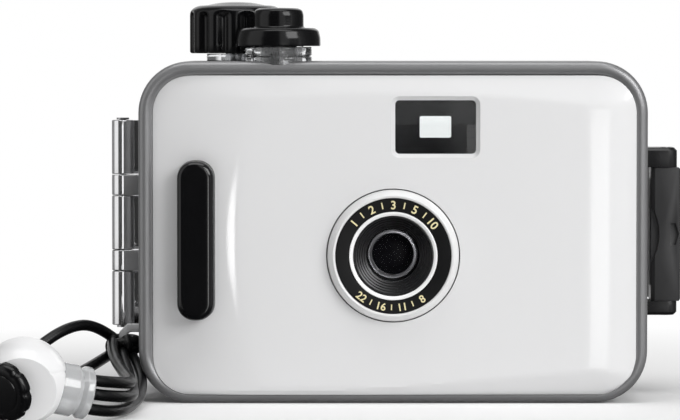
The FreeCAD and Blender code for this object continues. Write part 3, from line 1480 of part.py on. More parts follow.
def make_film_transport():
    shaft = (sprocket_x, sprocket_y)
    shaft_z0 = chassis_z0 + sprocket_shaft_low
    sprocket = rod_z(*shaft, shaft_z0, camera_top - sprocket_shaft_high, sprocket_shaft_radius)
    core_radius = 2 * sprocket_shaft_radius
    sprocket = sprocket.fuse(rod_z(*shaft, chamber_z0 + overlap, chamber_z1 - overlap, core_radius))
    tip = sprocket_radius + tooth_height
    root = sprocket_radius - tooth_root
    for side in (-1, 1):
        z = lens_z + side * perforation_spacing / 2
        z0 = z - sprocket_drum_half
        z1 = z + sprocket_drum_half
        sprocket = sprocket.fuse(rod_z(*shaft, z0, z1, sprocket_radius - chassis_gap))
        z0 = z - tooth_half_width
        z1 = z + tooth_half_width
        sprocket = sprocket.fuse(star_prism(*shaft, z0, z1, tip, root, sprocket_teeth))
    save("sprocket", sprocket)
    dial_z = camera_top - counter_dial_depth
    dial_top = dial_z + counter_thickness
    dial = star_prism(*shaft, dial_z, dial_top, counter_radius, counter_radius - tooth_root, counter_teeth)
    bore = rod_z(*shaft, dial_z - past, dial_top + past, sprocket_shaft_radius + running_gap)
    save("counter_dial", dial.cut(bore))
    fork_z0 = chamber_z1 - camera_floor
    disc_z = camera_top + chassis_gap
    rewind = rod_z(rewind_x, rewind_y, fork_z0, disc_z + overlap, shaft_radius)
    y0 = rewind_y - fork_half_width
    y1 = rewind_y + fork_half_width
    reach = shaft_radius + past
    fork = block(rewind_x - reach, rewind_x + reach, y0, y1, fork_z0 - past, fork_z0 + fork_depth)
    disc = rod_z(rewind_x, rewind_y, disc_z, disc_z + rewind_disc_height, rewind_disc_radius)
    save("rewind_knob", rewind.cut(fork).fuse(disc))
    crank_z = disc_z + rewind_disc_height + running_gap
    x1 = rewind_x + crank_length / 2
    y0 = rewind_y - crank_half_width
    y1 = rewind_y + crank_half_width
    corner = crank_half_width - fit_gap
    crank = rounded_prism_z(x1 - crank_length, x1, y0, y1, corner, crank_z, crank_z + crank_thickness)
    handle_x = x1 - crank_half_width - fit_gap
    grip = rod_z(handle_x, rewind_y, crank_z + past, crank_z + crank_grip_height, crank_grip_radius)
    save("rewind_crank", crank.fuse(grip))


def lock_axis():
    yaw = math.radians(bead_yaw)
    pitch = math.radians(bead_pitch)
    return Vector(math.cos(pitch) * math.cos(yaw), math.cos(pitch) * math.sin(yaw), math.sin(pitch))


def lock_up():
    """The direction square to the lock's axis that points up."""
    axis = lock_axis()
    up = Vector(0, 0, 1) - axis * axis.z
    up.normalize()
    return up


def on_lock(along, up=0.0):
    return bead_centre + lock_axis() * along + lock_up() * up


def make_cord_lock():
    axis = lock_axis()
    body = Part.makeSphere(bead_radius, bead_centre)
    bore_radius = lock_plunger_radius + bead_bore_gap
    bore = Part.makeCylinder(bore_radius, 2 * bead_radius, on_lock(bead_bore_floor), axis)
    cap_way = Vector(*lock_cap_way)
    cap_way.normalize()
    cap_seat = bead_centre + cap_way * lock_cap_seat
    slab = Part.makeCylinder(2 * bead_radius, bead_radius, cap_seat, cap_way)
    save("cord_lock_body", body.cut(bore).cut(slab))
    cap = Part.makeCylinder(lock_cap_radius, lock_cap_height, cap_seat, cap_way)
    round_edges = [edge for edge in cap.Edges if edge.isClosed()]
    far_edge = max(round_edges, key=lambda edge: (edge.CenterOfMass - bead_centre).Length)
    cap = cap.makeFillet(lock_cap_round, [far_edge])
    side = cap_way.cross(Vector(0, 0, 1))
    side.normalize()
    for index in range(lock_cap_flutes):
        start = cap_seat - cap_way + side * (lock_cap_radius + lock_cap_flute_out)
        groove = Part.makeCylinder(lock_cap_flute_radius, 2 * lock_cap_height, start, cap_way)
        groove.rotate(bead_centre, cap_way, 360 / lock_cap_flutes * (index + 0.5))
        cap = cap.cut(groove)
    save("cord_lock_cap", cap)
    start = bead_bore_floor + lock_spring_room
    plunger = Part.makeCylinder(lock_plunger_radius, lock_plunger_end - start, on_lock(start), axis)
    # A slot for the strands, drilled in from the flange
    slot_depth = lock_plunger_end - lock_strand_start + 3 * fit_gap
    slot_floor = lock_plunger_end - slot_depth
    across = lock_up().cross(axis)
    half_width_of_slot = lock_slot_width / 2
    half_height = lock_slot_height / 2 - half_width_of_slot
    slot = Part.makeBox(lock_slot_width, 2 * half_height, slot_depth + past)
    corner = on_lock(slot_floor, -half_height) - across * half_width_of_slot
    slot.Placement = FreeCAD.Placement(corner, FreeCAD.Rotation(across, lock_up(), axis, "ZXY"))
    plunger = plunger.cut(slot)
    for up in (-half_height, half_height):
        end = Part.makeCylinder(half_width_of_slot, slot_depth + past, on_lock(slot_floor, up), axis)
        plunger = plunger.cut(end)
    # A V groove round the plunger sets off its flange
    flange_start = lock_plunger_end - lock_flange_length
    deep = lock_plunger_radius - lock_groove_depth
    rim = lock_plunger_radius + chassis_gap
    width = lock_groove_half
    core = Part.makeCone(deep, rim, width, on_lock(flange_start), axis)
    core = core.fuse(Part.makeCone(rim, deep, width, on_lock(flange_start - width), axis))
    ring = Part.makeCylinder(rim + 0.8, 2 * width, on_lock(flange_start - width), axis)
    save("cord_lock_plunger", plunger.cut(ring.cut(core)))
    spring_length = lock_spring_room - running_gap
    spring = coil_spring(lock_spring_radius, lock_spring_wire, running_gap, spring_length, lock_spring_turns)
    upright = FreeCAD.Rotation(Vector(0, 0, 1), axis)
    spring.Placement = FreeCAD.Placement(on_lock(bead_bore_floor), upright)
    save("cord_lock_spring", spring)


def cord_tube(name, points):
    """A cord's solid along straight runs that are joined by tangent arcs."""
    edges = []
    last = points[0]
    radii = []
    for before, corner, after in zip(points, points[1:], points[2:]):
        inward = corner - before
        outward = after - corner
        turn = inward.getAngle(outward)
        setback = 0.45 * min(inward.Length, outward.Length)
        inward.normalize()
        outward.normalize()
        arc_start = corner - inward * setback
        arc_end = corner + outward * setback
        edges.append(Part.LineSegment(last, arc_start).toShape())
        edges.append(tangent_arc(arc_start, inward, arc_end))
        last = arc_end
        radii.append(setback / math.tan(turn / 2))
    edges.append(Part.LineSegment(last, points[-1]).toShape())
    tube = swept_tube(edges, points[0], points[1] - points[0], cord_radius)
    length = sum(edge.Length for edge in edges)
    share = tube.Volume / (math.pi * cord_radius**2 * length)
    print(f"{name}: length {length:.1f}, volume over section times length {share:.3f}, radii")
    print("   ", " ".join(f"{radius:.1f}" for radius in radii))
    return tube


def coil_place(turn):
    """A point of the coil's centre line: one turn on the floor, a step up, then one on top."""
    angle = math.radians(coil_start_angle) + 2 * math.pi * turn
    inner = coil_outer_radius - coil_step
    radius = inner
    z = cord_floor_z
    if turn < 1.0:
        radius = coil_outer_radius - coil_step * turn
    elif turn < 1.5:
        z += coil_layer_height * (1 - math.cos(2 * math.pi * (turn - 1.0))) / 2
    else:
        radius = inner + coil_step * (turn - 1.5)
        z += coil_layer_height
    return coil_centre + Vector(radius * math.cos(angle), radius * math.sin(angle), z)


def coil_tangent(turn):
    step = 1e-4
    tangent = coil_place(min(turn + step, coil_turns)) - coil_place(max(turn - step, 0))
    tangent.normalize()
    return tangent


def from_bar(way):
    """Corners given from the strap bar, as points."""
    return [Vector(bar_x + x, bar_y + y, z) for x, y, z in way]


def coil_gap():
    """The least gap between the coil's turns."""
    steps = 400
    turn = steps / coil_turns
    samples = [coil_place(coil_turns * index / steps) for index in range(steps + 1)]
    gaps = []
    for index, place in enumerate(samples):
        for other in samples[index + int(turn / 3) :]:
            gaps.append((place - other).Length)
    return min(gaps) - cord_diameter


def make_strap():
    save("strap_bar", strap_bar_solid(0))
    # The cord's wraps round the bar: two turns and a bight over them
    wrap_radius = math.hypot(bar_thickness / 2, bar_depth / 2) + cord_radius + fit_gap
    low_z = bar_bottom_z + bar_thickness / 2 + cord_radius + fit_gap
    high_z = low_z + cord_diameter + fit_gap
    knot = Part.makeTorus(wrap_radius, cord_radius, Vector(bar_x, bar_y, low_z))
    knot = knot.fuse(Part.makeTorus(wrap_radius, cord_radius, Vector(bar_x, bar_y, high_z)))
    for angle in knot_bight_angles:
        x = bar_x + wrap_radius * math.cos(math.radians(angle))
        y = bar_y + wrap_radius * math.sin(math.radians(angle))
        knot = knot.fuse(rod_z(x, y, low_z, high_z, cord_radius * 0.9))
    # The coil's ends run straight for one cord diameter before they meet the strands
    way_in = coil_tangent(0)
    coil_in = coil_place(0) - way_in * cord_diameter
    way_out = coil_tangent(coil_turns)
    coil_out = coil_place(coil_turns) + way_out * cord_diameter
    # Upper strand: out of the knot, up over and down behind the cord lock, then on the floor to the coil
    lead_in = [coil_in - way_in * coil_lead_in, coil_in]
    arc_strand = cord_tube("strap_arc_strand", from_bar(arc_way) + lead_in)
    save("strap_arc_strand", arc_strand)
    lead_out = [coil_out, coil_out + way_out * coil_lead_out]
    back_strand = cord_tube("strap_back_strand", lead_out + from_bar(back_way))
    save("strap_back_strand", back_strand)
    edges = [Part.LineSegment(coil_in, coil_place(0)).toShape()]
    steps = round(coil_turns * 4)
    for index in range(steps):
        t0 = coil_turns * index / steps
        t1 = coil_turns * (index + 1) / steps
        edges += biarc_edges(coil_place(t0), coil_tangent(t0), coil_place(t1), coil_tangent(t1))
    edges.append(Part.LineSegment(coil_place(coil_turns), coil_out).toShape())
    coil = swept_tube(edges, coil_in, way_in, cord_radius)
    save("strap_coil", coil)
    print(f"coil: length {sum(edge.Length for edge in edges):.1f}, least gap to itself {coil_gap():.2f}")
    # Three strands: out of the cord lock, round to the back, and beside the case to the knot
    strands = [cord_tube("strap_lock_strand", from_bar(way)) for way in lock_ways]
    save("strap_lock_strands", Part.makeCompound(strands), solids=3)
    # The strands run into the knot
    for strand in [arc_strand, back_strand] + strands:
        knot = knot.cut(strand)
    save("strap_knot", knot)


os.makedirs("parts", exist_ok=True)
save("front_shell", make_front_shell())
save("front_panel", make_front_panel())
save("grip_pad", make_grip_pad())
make_lens_port()
make_finder()
save("rear_cover", make_rear_cover())
save("eyepiece_window", make_eyepiece())
save("case_gasket", make_gasket())
save("hinge_pin", make_hinge_pin())
make_latch()
make_winding()
make_button()
make_camera_covers()
make_chassis()
make_film_door()
make_lens_and_shutter()
make_film_transport()
make_cord_lock()
make_strap()
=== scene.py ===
import math

import bmesh
import bpy
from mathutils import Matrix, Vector


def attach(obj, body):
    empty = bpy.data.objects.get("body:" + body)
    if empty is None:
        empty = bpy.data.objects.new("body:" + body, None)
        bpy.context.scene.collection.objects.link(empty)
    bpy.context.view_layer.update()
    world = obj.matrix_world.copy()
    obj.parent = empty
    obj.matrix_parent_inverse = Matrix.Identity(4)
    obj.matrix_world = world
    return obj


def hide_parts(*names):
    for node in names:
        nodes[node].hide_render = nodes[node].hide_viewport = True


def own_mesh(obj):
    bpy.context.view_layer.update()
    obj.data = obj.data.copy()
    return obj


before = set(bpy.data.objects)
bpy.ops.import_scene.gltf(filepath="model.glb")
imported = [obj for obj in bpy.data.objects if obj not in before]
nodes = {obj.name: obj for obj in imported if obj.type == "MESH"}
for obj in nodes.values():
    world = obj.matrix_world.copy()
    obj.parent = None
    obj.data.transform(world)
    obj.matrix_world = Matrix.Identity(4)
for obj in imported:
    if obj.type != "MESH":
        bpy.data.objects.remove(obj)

mm = 0.001
scene = bpy.context.scene
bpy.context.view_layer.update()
print("frame loaded,", len(nodes), "nodes")


def at(x, y, z):
    return Vector((x, y, z)) * mm


def addPiece(name, data):
    piece = bpy.data.objects.new(name, data)
    scene.collection.objects.link(piece)
    return piece


def aimAt(thing, place, aim):
    thing.location = place
    thing.rotation_euler = (Vector(aim) - Vector(place)).to_track_quat("-Z", "Y").to_euler()


leftToRight, upward = Vector((1, 0, 0)), Vector((0, 0, 1))


# camera at the photograph's angle, a little above the lens

view = {
    "place": at(-12.3, -922, 82), "aim": at(-12.3, -22, 44.7), "lens": 206.1, "sensor": 36.0,
    "clip": (0.05, 50.0),
}
cameraData = bpy.data.cameras.new("photoCamera")
cameraData.lens = view["lens"]
cameraData.sensor_width = view["sensor"]
cameraData.clip_start, cameraData.clip_end = view["clip"]
photoCamera = addPiece("photoCamera", cameraData)
aimAt(photoCamera, view["place"], view["aim"])
scene.camera = photoCamera
scene.view_settings.view_transform = "Standard"
print("camera set")


# shader nodes: each input takes a fixed value or another node's output

def feed(node, inputs):
    for socket, value in inputs.items():
        if isinstance(value, bpy.types.NodeSocket):
            node.id_data.links.new(value, node.inputs[socket])
        else:
            node.inputs[socket].default_value = value


def addNode(tree, kind, inputs, **settings):
    node = tree.nodes.new("ShaderNode" + kind)
    for name, setting in settings.items():
        setattr(node, name, setting)
    feed(node, inputs)
    return node


def addMath(tree, operation, *values):
    return addNode(tree, "Math", dict(enumerate(values)), operation=operation).outputs["Value"]


def ownPlace(tree):
    return tree.nodes["Texture Coordinate"].outputs["Object"]


def addNoise(tree, size, detail):
    # spots of this size in millimetres
    noise = addNode(tree, "TexNoise", {
        "Vector": ownPlace(tree), "Scale": 1 / (size * mm), "Detail": detail,
    })
    return noise.outputs["Fac"]


def addBump(tree, height, strength, depth):
    # relief of this depth in millimetres, on the tree's own surface
    relief = addNode(tree, "Bump", {"Height": height, "Strength": strength, "Distance": depth * mm})
    feed(tree.nodes["Principled BSDF"], {"Normal": relief.outputs["Normal"]})


# finishes: each is a shader with a little variation of colour, gloss and surface

def finish(
    name, colour, rough=0.3, spread=0.05, smear=0.06, spotSize=4.0, grain=0.0, grainSize=0.4,
    metal=0.0, clear=0.0, ior=1.49, coat=0.0, coatRough=0.04, shine=0.5, alpha=1.0,
):
    material = bpy.data.materials.new(name)
    material.use_nodes = True
    tree = material.node_tree
    addNode(tree, "TexCoord", {})
    blend = addNode(tree, "Mix", {
        "A": [c * (1 - spread) for c in colour] + [1],
        "B": [min(1, c * (1 + spread)) for c in colour] + [1],
        "Factor": addNoise(tree, spotSize, 3.0),
    }, data_type="RGBA")
    gloss = addNode(tree, "MapRange", {
        "Value": addNoise(tree, spotSize / 0.6, 1.5), "From Min": 0.2, "From Max": 0.8,
        "To Min": max(0.0, rough - smear), "To Max": rough + smear,
    })
    feed(tree.nodes["Principled BSDF"], {
        "Base Color": blend.outputs["Result"], "Roughness": gloss.outputs["Result"],
        "Metallic": metal, "Transmission Weight": clear, "IOR": ior, "Alpha": alpha,
        "Coat Weight": coat, "Coat Roughness": coatRough, "Specular IOR Level": shine,
    })
    if grain:
        addBump(tree, addNoise(tree, grainSize, 2.0), 0.5, grain)
    return material


panelWhite = finish(
    "panelWhite", (0.76, 0.76, 0.765), rough=0.34, spread=0.006, smear=0.02, spotSize=9.0, coat=1.0,
    coatRough=0.085,
)
partWhite = finish("partWhite", (0.78, 0.78, 0.78), rough=0.25, spread=0.01, smear=0.03, coat=0.6)
trimWhite = finish("trimWhite", (0.93, 0.93, 0.93), rough=0.22, spread=0.005, smear=0.02, coat=0.5)
beadWhite = finish(
    "beadWhite", (0.84, 0.84, 0.845), rough=0.32, spread=0.006, smear=0.02, coat=0.3,
    coatRough=0.14,
)
shellGrey = finish(
    "shellGrey", (0.26, 0.26, 0.265), rough=0.36, spread=0.02, smear=0.02, metal=0.45, clear=0.1,
)
coverGrey = finish(
    "coverGrey", (0.4, 0.4, 0.41), rough=0.1, spread=0.02, smear=0.03, clear=0.55, coat=0.4,
)
rewindGrey = finish("rewindGrey", (0.16, 0.16, 0.165), rough=0.35, spread=0.06, grain=0.006)
printCream = finish("printCream", (0.8, 0.72, 0.42), rough=0.5, spread=0.04, spotSize=0.5)

# black plastics and rubber
deepBlack = (0.004, 0.004, 0.0045)
gripBlack = finish("gripBlack", deepBlack, rough=0.09, spread=0.2, smear=0.02, shine=0.4)
knobBlack = finish("knobBlack", deepBlack, rough=0.16, spread=0.2, smear=0.03, shine=0.28)
capBlack = finish("capBlack", deepBlack, rough=0.2, spread=0.2, smear=0.03, shine=0.28)
ringBlack = finish(
    "ringBlack", deepBlack, rough=0.4, spread=0.15, grain=0.006, grainSize=0.25, shine=0.3,
)
coneBlack = finish("coneBlack", (0.012, 0.012, 0.013), rough=0.3, spread=0.15)
retainBlack = finish("retainBlack", (0.008, 0.008, 0.009), rough=0.2, spread=0.1)
latchBlack = finish(
    "latchBlack", (0.032, 0.032, 0.033), rough=0.34, spread=0.08, grain=0.008, grainSize=0.3,
)
earBlack = finish(
    "earBlack", (0.01, 0.01, 0.0105), rough=0.28, spread=0.08, grain=0.006, grainSize=0.3,
    shine=0.4,
)
cameraBlack = finish(
    "cameraBlack", (0.022, 0.022, 0.023), rough=0.5, spread=0.12, grain=0.03, grainSize=0.35,
)
chassisBlack = finish(
    "chassisBlack", (0.014, 0.014, 0.014), rough=0.6, spread=0.15, grain=0.02, grainSize=0.3,
)
shutterBlack = finish("shutterBlack", (0.03, 0.03, 0.034), rough=0.36, spread=0.15, metal=0.7)
sealRubber = finish("sealRubber", (0.02, 0.02, 0.02), rough=0.7, spread=0.15, grain=0.02)

# metals
hingeChrome = finish(
    "hingeChrome", (0.86, 0.86, 0.87), rough=0.07, spread=0.02, smear=0.02, metal=0.88,
)
leafChrome = finish("leafChrome", (0.8, 0.8, 0.81), rough=0.12, spread=0.03, smear=0.02, metal=1.0)
leafBrushed = finish(
    "leafBrushed", (0.8, 0.8, 0.81), rough=0.42, spread=0.03, smear=0.04, metal=1.0, grain=0.004,
)
plainSteel = finish("plainSteel", (0.5, 0.5, 0.51), spread=0.06, metal=1.0, grain=0.004)
retainSteel = finish("retainSteel", (0.07, 0.07, 0.074), spread=0.04, smear=0.02, metal=1.0)

# clear plastics and glass
clearPlastic = finish(
    "clearPlastic", (0.93, 0.94, 0.95), rough=0.03, spread=0.01, smear=0.01, clear=0.96,
)
clearPane = finish(
    "clearPane", (0.98, 0.99, 0.99), rough=0.01, spread=0.005, smear=0.005, clear=1.0, ior=1.28,
)
portGlass = finish(
    "portGlass", (0.02, 0.02, 0.025), rough=0.28, spread=0.1, smear=0.005, shine=0.3, alpha=0.1,
)
lensGlass = finish(
    "lensGlass", (0.12, 0.12, 0.16), rough=0.01, spread=0.1, smear=0.005, clear=0.9, ior=1.45,
)
# painted shade: the front element is opaque and near black, standing in for the dark view through
# its glass into the camera; only its gloss is real
elementPaintedShade = finish("elementPaintedShade", (0.0025, 0.0025, 0.004), spread=0.2, smear=0.02, shine=0.1)
barPlastic = finish("barPlastic", (0.82, 0.82, 0.83), rough=0.2, spread=0.02, coat=0.3)
plungerClear = finish(
    "plungerClear", (0.88, 0.89, 0.9), rough=0.06, spread=0.01, smear=0.02, clear=0.6, coat=0.5,
)

# the cord's braid is fine crossed ribs
braid = {"ribs": 0.55, "depth": 0.05, "strength": 0.35, "leans": (0.7, -0.7), "roll": 0.6}
waveLength = 0.314  # of Blender's wave texture at scale 1
cordBlack = finish("cordBlack", (0.0035, 0.0035, 0.004), rough=0.34, spread=0.25, shine=0.3)
tree = cordBlack.node_tree
ribs = []
for lean in braid["leans"]:
    leaning = addNode(tree, "Mapping", {
        "Vector": ownPlace(tree), "Rotation": (lean, lean, braid["roll"]),
    })
    wave = addNode(tree, "TexWave", {
        "Vector": leaning.outputs["Vector"], "Scale": waveLength / (braid["ribs"] * mm),
    })
    ribs.append(wave.outputs["Fac"])
addBump(tree, addMath(tree, "ADD", *ribs), braid["strength"], braid["depth"])

# the counter's dial carries plain ticks
dial = {
    "centre": at(-24.997, 9.5, 68), "ticks": 40, "tickShare": 0.22, "inner": 4.6,
    "ink": (0.02, 0.02, 0.02, 1),
}
dialWhite = finish("dialWhite", (0.78, 0.78, 0.76), rough=0.4, spread=0.02)
tree = dialWhite.node_tree
shift = addNode(
    tree, "VectorMath", {0: ownPlace(tree), 1: dial["centre"]}, operation="SUBTRACT"
).outputs["Vector"]
parts = addNode(tree, "SeparateXYZ", {"Vector": shift}).outputs
angle = addMath(tree, "ARCTAN2", parts["Y"], parts["X"])
turns = addMath(tree, "MULTIPLY", angle, dial["ticks"] / (2 * math.pi))
tick = addMath(tree, "LESS_THAN", addMath(tree, "FRACT", turns), dial["tickShare"])
reach = addNode(tree, "VectorMath", {0: shift}, operation="LENGTH").outputs["Value"]
outside = addMath(tree, "GREATER_THAN", reach, dial["inner"] * mm)
marked = addNode(tree, "Mix", {
    "A": tree.nodes["Mix"].outputs["Result"], "B": dial["ink"],
    "Factor": addMath(tree, "MULTIPLY", tick, outside),
}, data_type="RGBA")
feed(tree.nodes["Principled BSDF"], {"Base Color": marked.outputs["Result"]})
print("finishes made")


# shapes shared by several pieces; sizes are millimetres

def addMesh(name, points, faces):
    mesh = bpy.data.meshes.new(name)
    mesh.from_pydata([tuple(p) for p in points], [], faces)
    return addPiece(name, mesh)


def shapeOf(piece):
    # its mesh with all modifiers, or a text's as a mesh
    bpy.context.view_layer.update()
    seen = piece.evaluated_get(bpy.context.evaluated_depsgraph_get())
    return bpy.data.meshes.new_from_object(seen)


def bake(piece):
    shape = shapeOf(piece)
    piece.modifiers.clear()
    piece.data = shape


def reshape(piece, change):
    shape = bmesh.new()
    shape.from_mesh(piece.data)
    change(shape)
    shape.to_mesh(piece.data)
    shape.free()


def faceOut(piece):
    reshape(piece, lambda shape: bmesh.ops.recalc_face_normals(shape, faces=shape.faces))


def cutAway(piece, cutters, keep=False):
    faceOut(piece)
    for cutter in cutters:
        faceOut(cutter)
        carve = piece.modifiers.new("carve", "BOOLEAN")
        carve.operation = "INTERSECT" if keep else "DIFFERENCE"
        carve.solver = "EXACT"
        carve.object = cutter
    bake(piece)
    for cutter in cutters:
        bpy.data.objects.remove(cutter)


def roundEdges(piece, width):
    soften = piece.modifiers.new("soften", "BEVEL")
    soften.width = width * mm
    soften.segments = 3
    soften.limit_method = "ANGLE"
    soften.angle_limit = math.radians(30)
    bake(piece)


def settle(piece, slot, material, stands=(), sharp=34, body="housing"):
    # normals, smooth faces with sharp edges, a material, and the body that it rides on
    if piece.type == "MESH":
        faceOut(piece)
        piece.data.shade_smooth()
        piece.data.set_sharp_from_angle(angle=math.radians(sharp))
    piece.data.materials.clear()
    piece.data.materials.append(material)
    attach(piece, body)
    if stands:
        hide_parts(*stands)
    return piece


def softCorners(points, radius, closed=True, steps=4):
    # each corner of a flat outline becomes a short curve
    soft = []
    last = len(points) - 1
    for index, corner in enumerate(points):
        corner = Vector(corner)
        if not closed and index in (0, last):
            soft.append(corner)
            continue
        before = Vector(points[index - 1]) - corner
        after = Vector(points[(index + 1) % len(points)]) - corner
        # at most this share of a side, so two curves never meet
        reach = min(radius, before.length * 0.45, after.length * 0.45)
        first = corner + before.normalized() * reach
        second = corner + after.normalized() * reach
        for step in range(steps + 1):
            t = step / steps
            soft.append(first * (1 - t) ** 2 + corner * 2 * t * (1 - t) + second * t * t)
    return soft


def joinLoops(name, loops, closedUp=False):
    # loops of equal length are joined by faces, one to the next
    count = len(loops[0])
    points = [p * mm for loop in loops for p in loop]
    faces = []
    pairs = len(loops) if closedUp else len(loops) - 1
    for row in range(pairs):
        a = row * count
        b = (row + 1) % len(loops) * count
        for index in range(count):
            ahead = (index + 1) % count
            faces.append((a + index, a + ahead, b + ahead, b + index))
    if not closedUp:
        faces.append(tuple(range(count)))
        faces.append(tuple(range(len(points) - count, len(points))))
    return addMesh(name, points, faces)


def joinGrids(name, columns, rows, place, gridBack=True):
    # a front grid and a back one, or one flat back face, joined round the rim
    points = [
        place(layer, column, row)
        for layer in (0, 1) for row in range(rows + 1) for column in range(columns + 1)
    ]
    stride = columns + 1
    deep = stride * (rows + 1)
    faces = []
    for first in (0, deep) if gridBack else (0,):
        for row in range(rows):
            for column in range(columns):
                a = first + row * stride + column
                faces.append((a, a + 1, a + stride + 1, a + stride))
    rim = list(range(stride)) + [r * stride + columns for r in range(1, rows + 1)]
    rim += [rows * stride + c for c in range(columns - 1, -1, -1)]
    rim += [r * stride for r in range(rows - 1, 0, -1)]
    faces += [(a, b, b + deep, a + deep) for a, b in zip(rim, rim[1:] + rim[:1])]
    if not gridBack:
        faces.append(tuple(index + deep for index in rim))
    piece = addMesh(name, points, faces)
    reshape(piece, lambda shape: bmesh.ops.delete(
        shape, geom=[v for v in shape.verts if not v.link_faces], context="VERTS"
    ))
    return piece


def spokes(side, across, steps):
    # directions round a full turn, from side over across
    turns = [2 * math.pi * step / steps for step in range(steps)]
    return [side * math.cos(turn) + across * math.sin(turn) for turn in turns]


def turned(name, outline, centre, axis, closed=True, steps=96):
    # an outline of (radius, distance along the axis) turned round it
    axis = Vector(axis).normalized()
    side = leftToRight if abs(axis.x) < 0.5 else axis.cross(upward).normalized()
    ways = spokes(side, axis.cross(side), steps)
    loops = []
    for radius, along in outline:
        middle = Vector(centre) + axis * along
        loops.append([middle + way * max(radius, 0.001) for way in ways])
    return joinLoops(name, loops, closedUp=closed)


def roundedBox(u0, u1, v0, v1, radius, steps=8):
    # a rectangle with round corners, as a flat outline
    outline = []
    left, right, low, high = u0 + radius, u1 - radius, v0 + radius, v1 - radius
    for cu, cv, start in ((right, low, -90), (right, high, 0), (left, high, 90), (left, low, 180)):
        for step in range(steps + 1):
            turn = math.radians(start + 90 * step / steps)
            outline.append((cu + radius * math.cos(turn), cv + radius * math.sin(turn)))
    return outline


def frontBox(x, z, width, height, y, radius, grow=0.0, steps=8):
    # a round-cornered rectangle about (x, z) at depth y, grown on every side
    outline = roundedBox(
        x - width / 2 - grow, x + width / 2 + grow,
        z - height / 2 - grow, z + height / 2 + grow, radius, steps,
    )
    return [Vector((u, y, v)) for u, v in outline]


def frontPrism(name, outline, y0, y1):
    # an outline in the front plane, from one depth to another
    return joinLoops(name, [[Vector((u, y, v)) for u, v in outline] for y in (y0, y1)])


def smoothStep(value):
    value = min(1.0, max(0.0, value))
    return value * value * (3 - 2 * value)


# front panel: a shallow pillow with a crescent edge on the left and rolled margins

panel = {
    "left": -55.7, "right": 56.3, "bottom": 1.8, "top": 75.8, "corner": 8.7,
    "back": -19.2, "front": -23.2, "cell": 0.75, "spare": 0.4,
    "leftFall": 2.4, "rightFall": 1.5, "topFall": 1.9, "bottomFall": 1.3, "mostFall": 3.7,
    "crescentX": -34.9, "crescentBow": 0.0052, "crescentZ": 38.0, "crescentWidth": 3.5,
    "crescentTilt": 0.05, "rightX": 44.5,
    "topZ": 71.6, "topDrop": 3.4, "topHalf": 52.0, "topPower": 1.15,
    "lowZ": 3.2, "lowRise": 4.6, "lowGain": 0.8, "lowPower": 1.1,
    "riseX": -14.0, "riseWidth": 72.0, "join": 2.2,
    "lensZ": 34.2, "lensHole": 15.5,
    # two openings: middle x and z, width and height
    "grip": (-45.6, 37.7, 8.8, 37.0), "gripCorner": 4.0, "finder": (9.8, 63.9, 18.7, 12.4),
    # the finder's cut: depth behind the front, growth and corner
    "finderCut": ((5.2, 0.0, 1.0), (1.0, 0.0, 1.0), (0.12, 0.88, 1.9), (-0.6, 1.25, 2.1)),
}
through = (-30, -15)  # depths at which a cutter passes the whole panel


def panelFall(x, z):
    # how far the panel's face lies behind its middle
    edge = panel["crescentX"] + panel["crescentBow"] * (z - panel["crescentZ"]) ** 2
    leftWay = max(0.0, edge - x)
    leftWhole = edge - panel["left"]
    ramp = panel["crescentWidth"]
    early = min(leftWay, ramp)
    rolled = panel["crescentTilt"] * (0.5 * early * early / ramp + max(0.0, leftWay - ramp))
    left = rolled + panel["leftFall"] * (leftWay / leftWhole) ** 2
    rightWay = max(0.0, x - panel["rightX"]) / (panel["right"] - panel["rightX"])
    right = panel["rightFall"] * rightWay**2
    topEdge = panel["topZ"] - panel["topDrop"] * (x / panel["topHalf"]) ** 2
    topWay = max(0.0, z - topEdge) / (panel["top"] - topEdge)
    top = panel["topFall"] * topWay ** panel["topPower"]
    rise = smoothStep((x - panel["riseX"]) / panel["riseWidth"])
    lowEdge = panel["lowZ"] + panel["lowRise"] * rise
    lowWay = max(0.0, lowEdge - z) / (lowEdge - panel["bottom"])
    low = panel["bottomFall"] * (1 + panel["lowGain"] * rise) * lowWay ** panel["lowPower"]
    power = panel["join"]
    falls = left**power + right**power + top**power + low**power
    return min(panel["mostFall"], falls ** (1 / power))


def makePanel():
    # the grid reaches a little past the border that trims it
    spare = panel["spare"]
    x0, x1 = panel["left"] - spare, panel["right"] + spare
    z0, z1 = panel["bottom"] - spare, panel["top"] + spare
    columns = round((x1 - x0) / panel["cell"])
    rows = round((z1 - z0) / panel["cell"])

    def place(layer, column, row):
        x = x0 + (x1 - x0) * column / columns
        z = z0 + (z1 - z0) * row / rows
        return at(x, panel["back"] if layer else panel["front"] + panelFall(x, z), z)

    piece = joinGrids("frontPanel", columns, rows, place, gridBack=False)
    sides = [panel[side] for side in ("left", "right", "bottom", "top")]
    border = roundedBox(*sides, panel["corner"], 12)
    cutAway(piece, [frontPrism("border", border, *through)], keep=True)
    ways = spokes(leftToRight * panel["lensHole"], upward * panel["lensHole"], 128)
    cutAway(piece, [
        frontPrism("lensHole", [(way.x, panel["lensZ"] + way.z) for way in ways], *through),
        joinLoops("gripHole", [
            frontBox(*panel["grip"], y, panel["gripCorner"]) for y in through
        ]),
        joinLoops("finderHole", [
            frontBox(*panel["finder"], panel["front"] + behind, radius, grow)
            for behind, grow, radius in panel["finderCut"]
        ]),
    ])
    settle(piece, "white_panel", panelWhite, ["front_panel"], sharp=24)


makePanel()
print("panel made")


# grip pad: a glossy bar with full round ends and a soft front edge

grip = {
    # middle x and z, width and length
    "bar": (-45.6, 37.7, 8.6, 36.8), "front": -26.8, "back": -19.2,
    "round": 1.5, "corner": 3.95, "leastCorner": 0.6, "flat": 0.9,
}


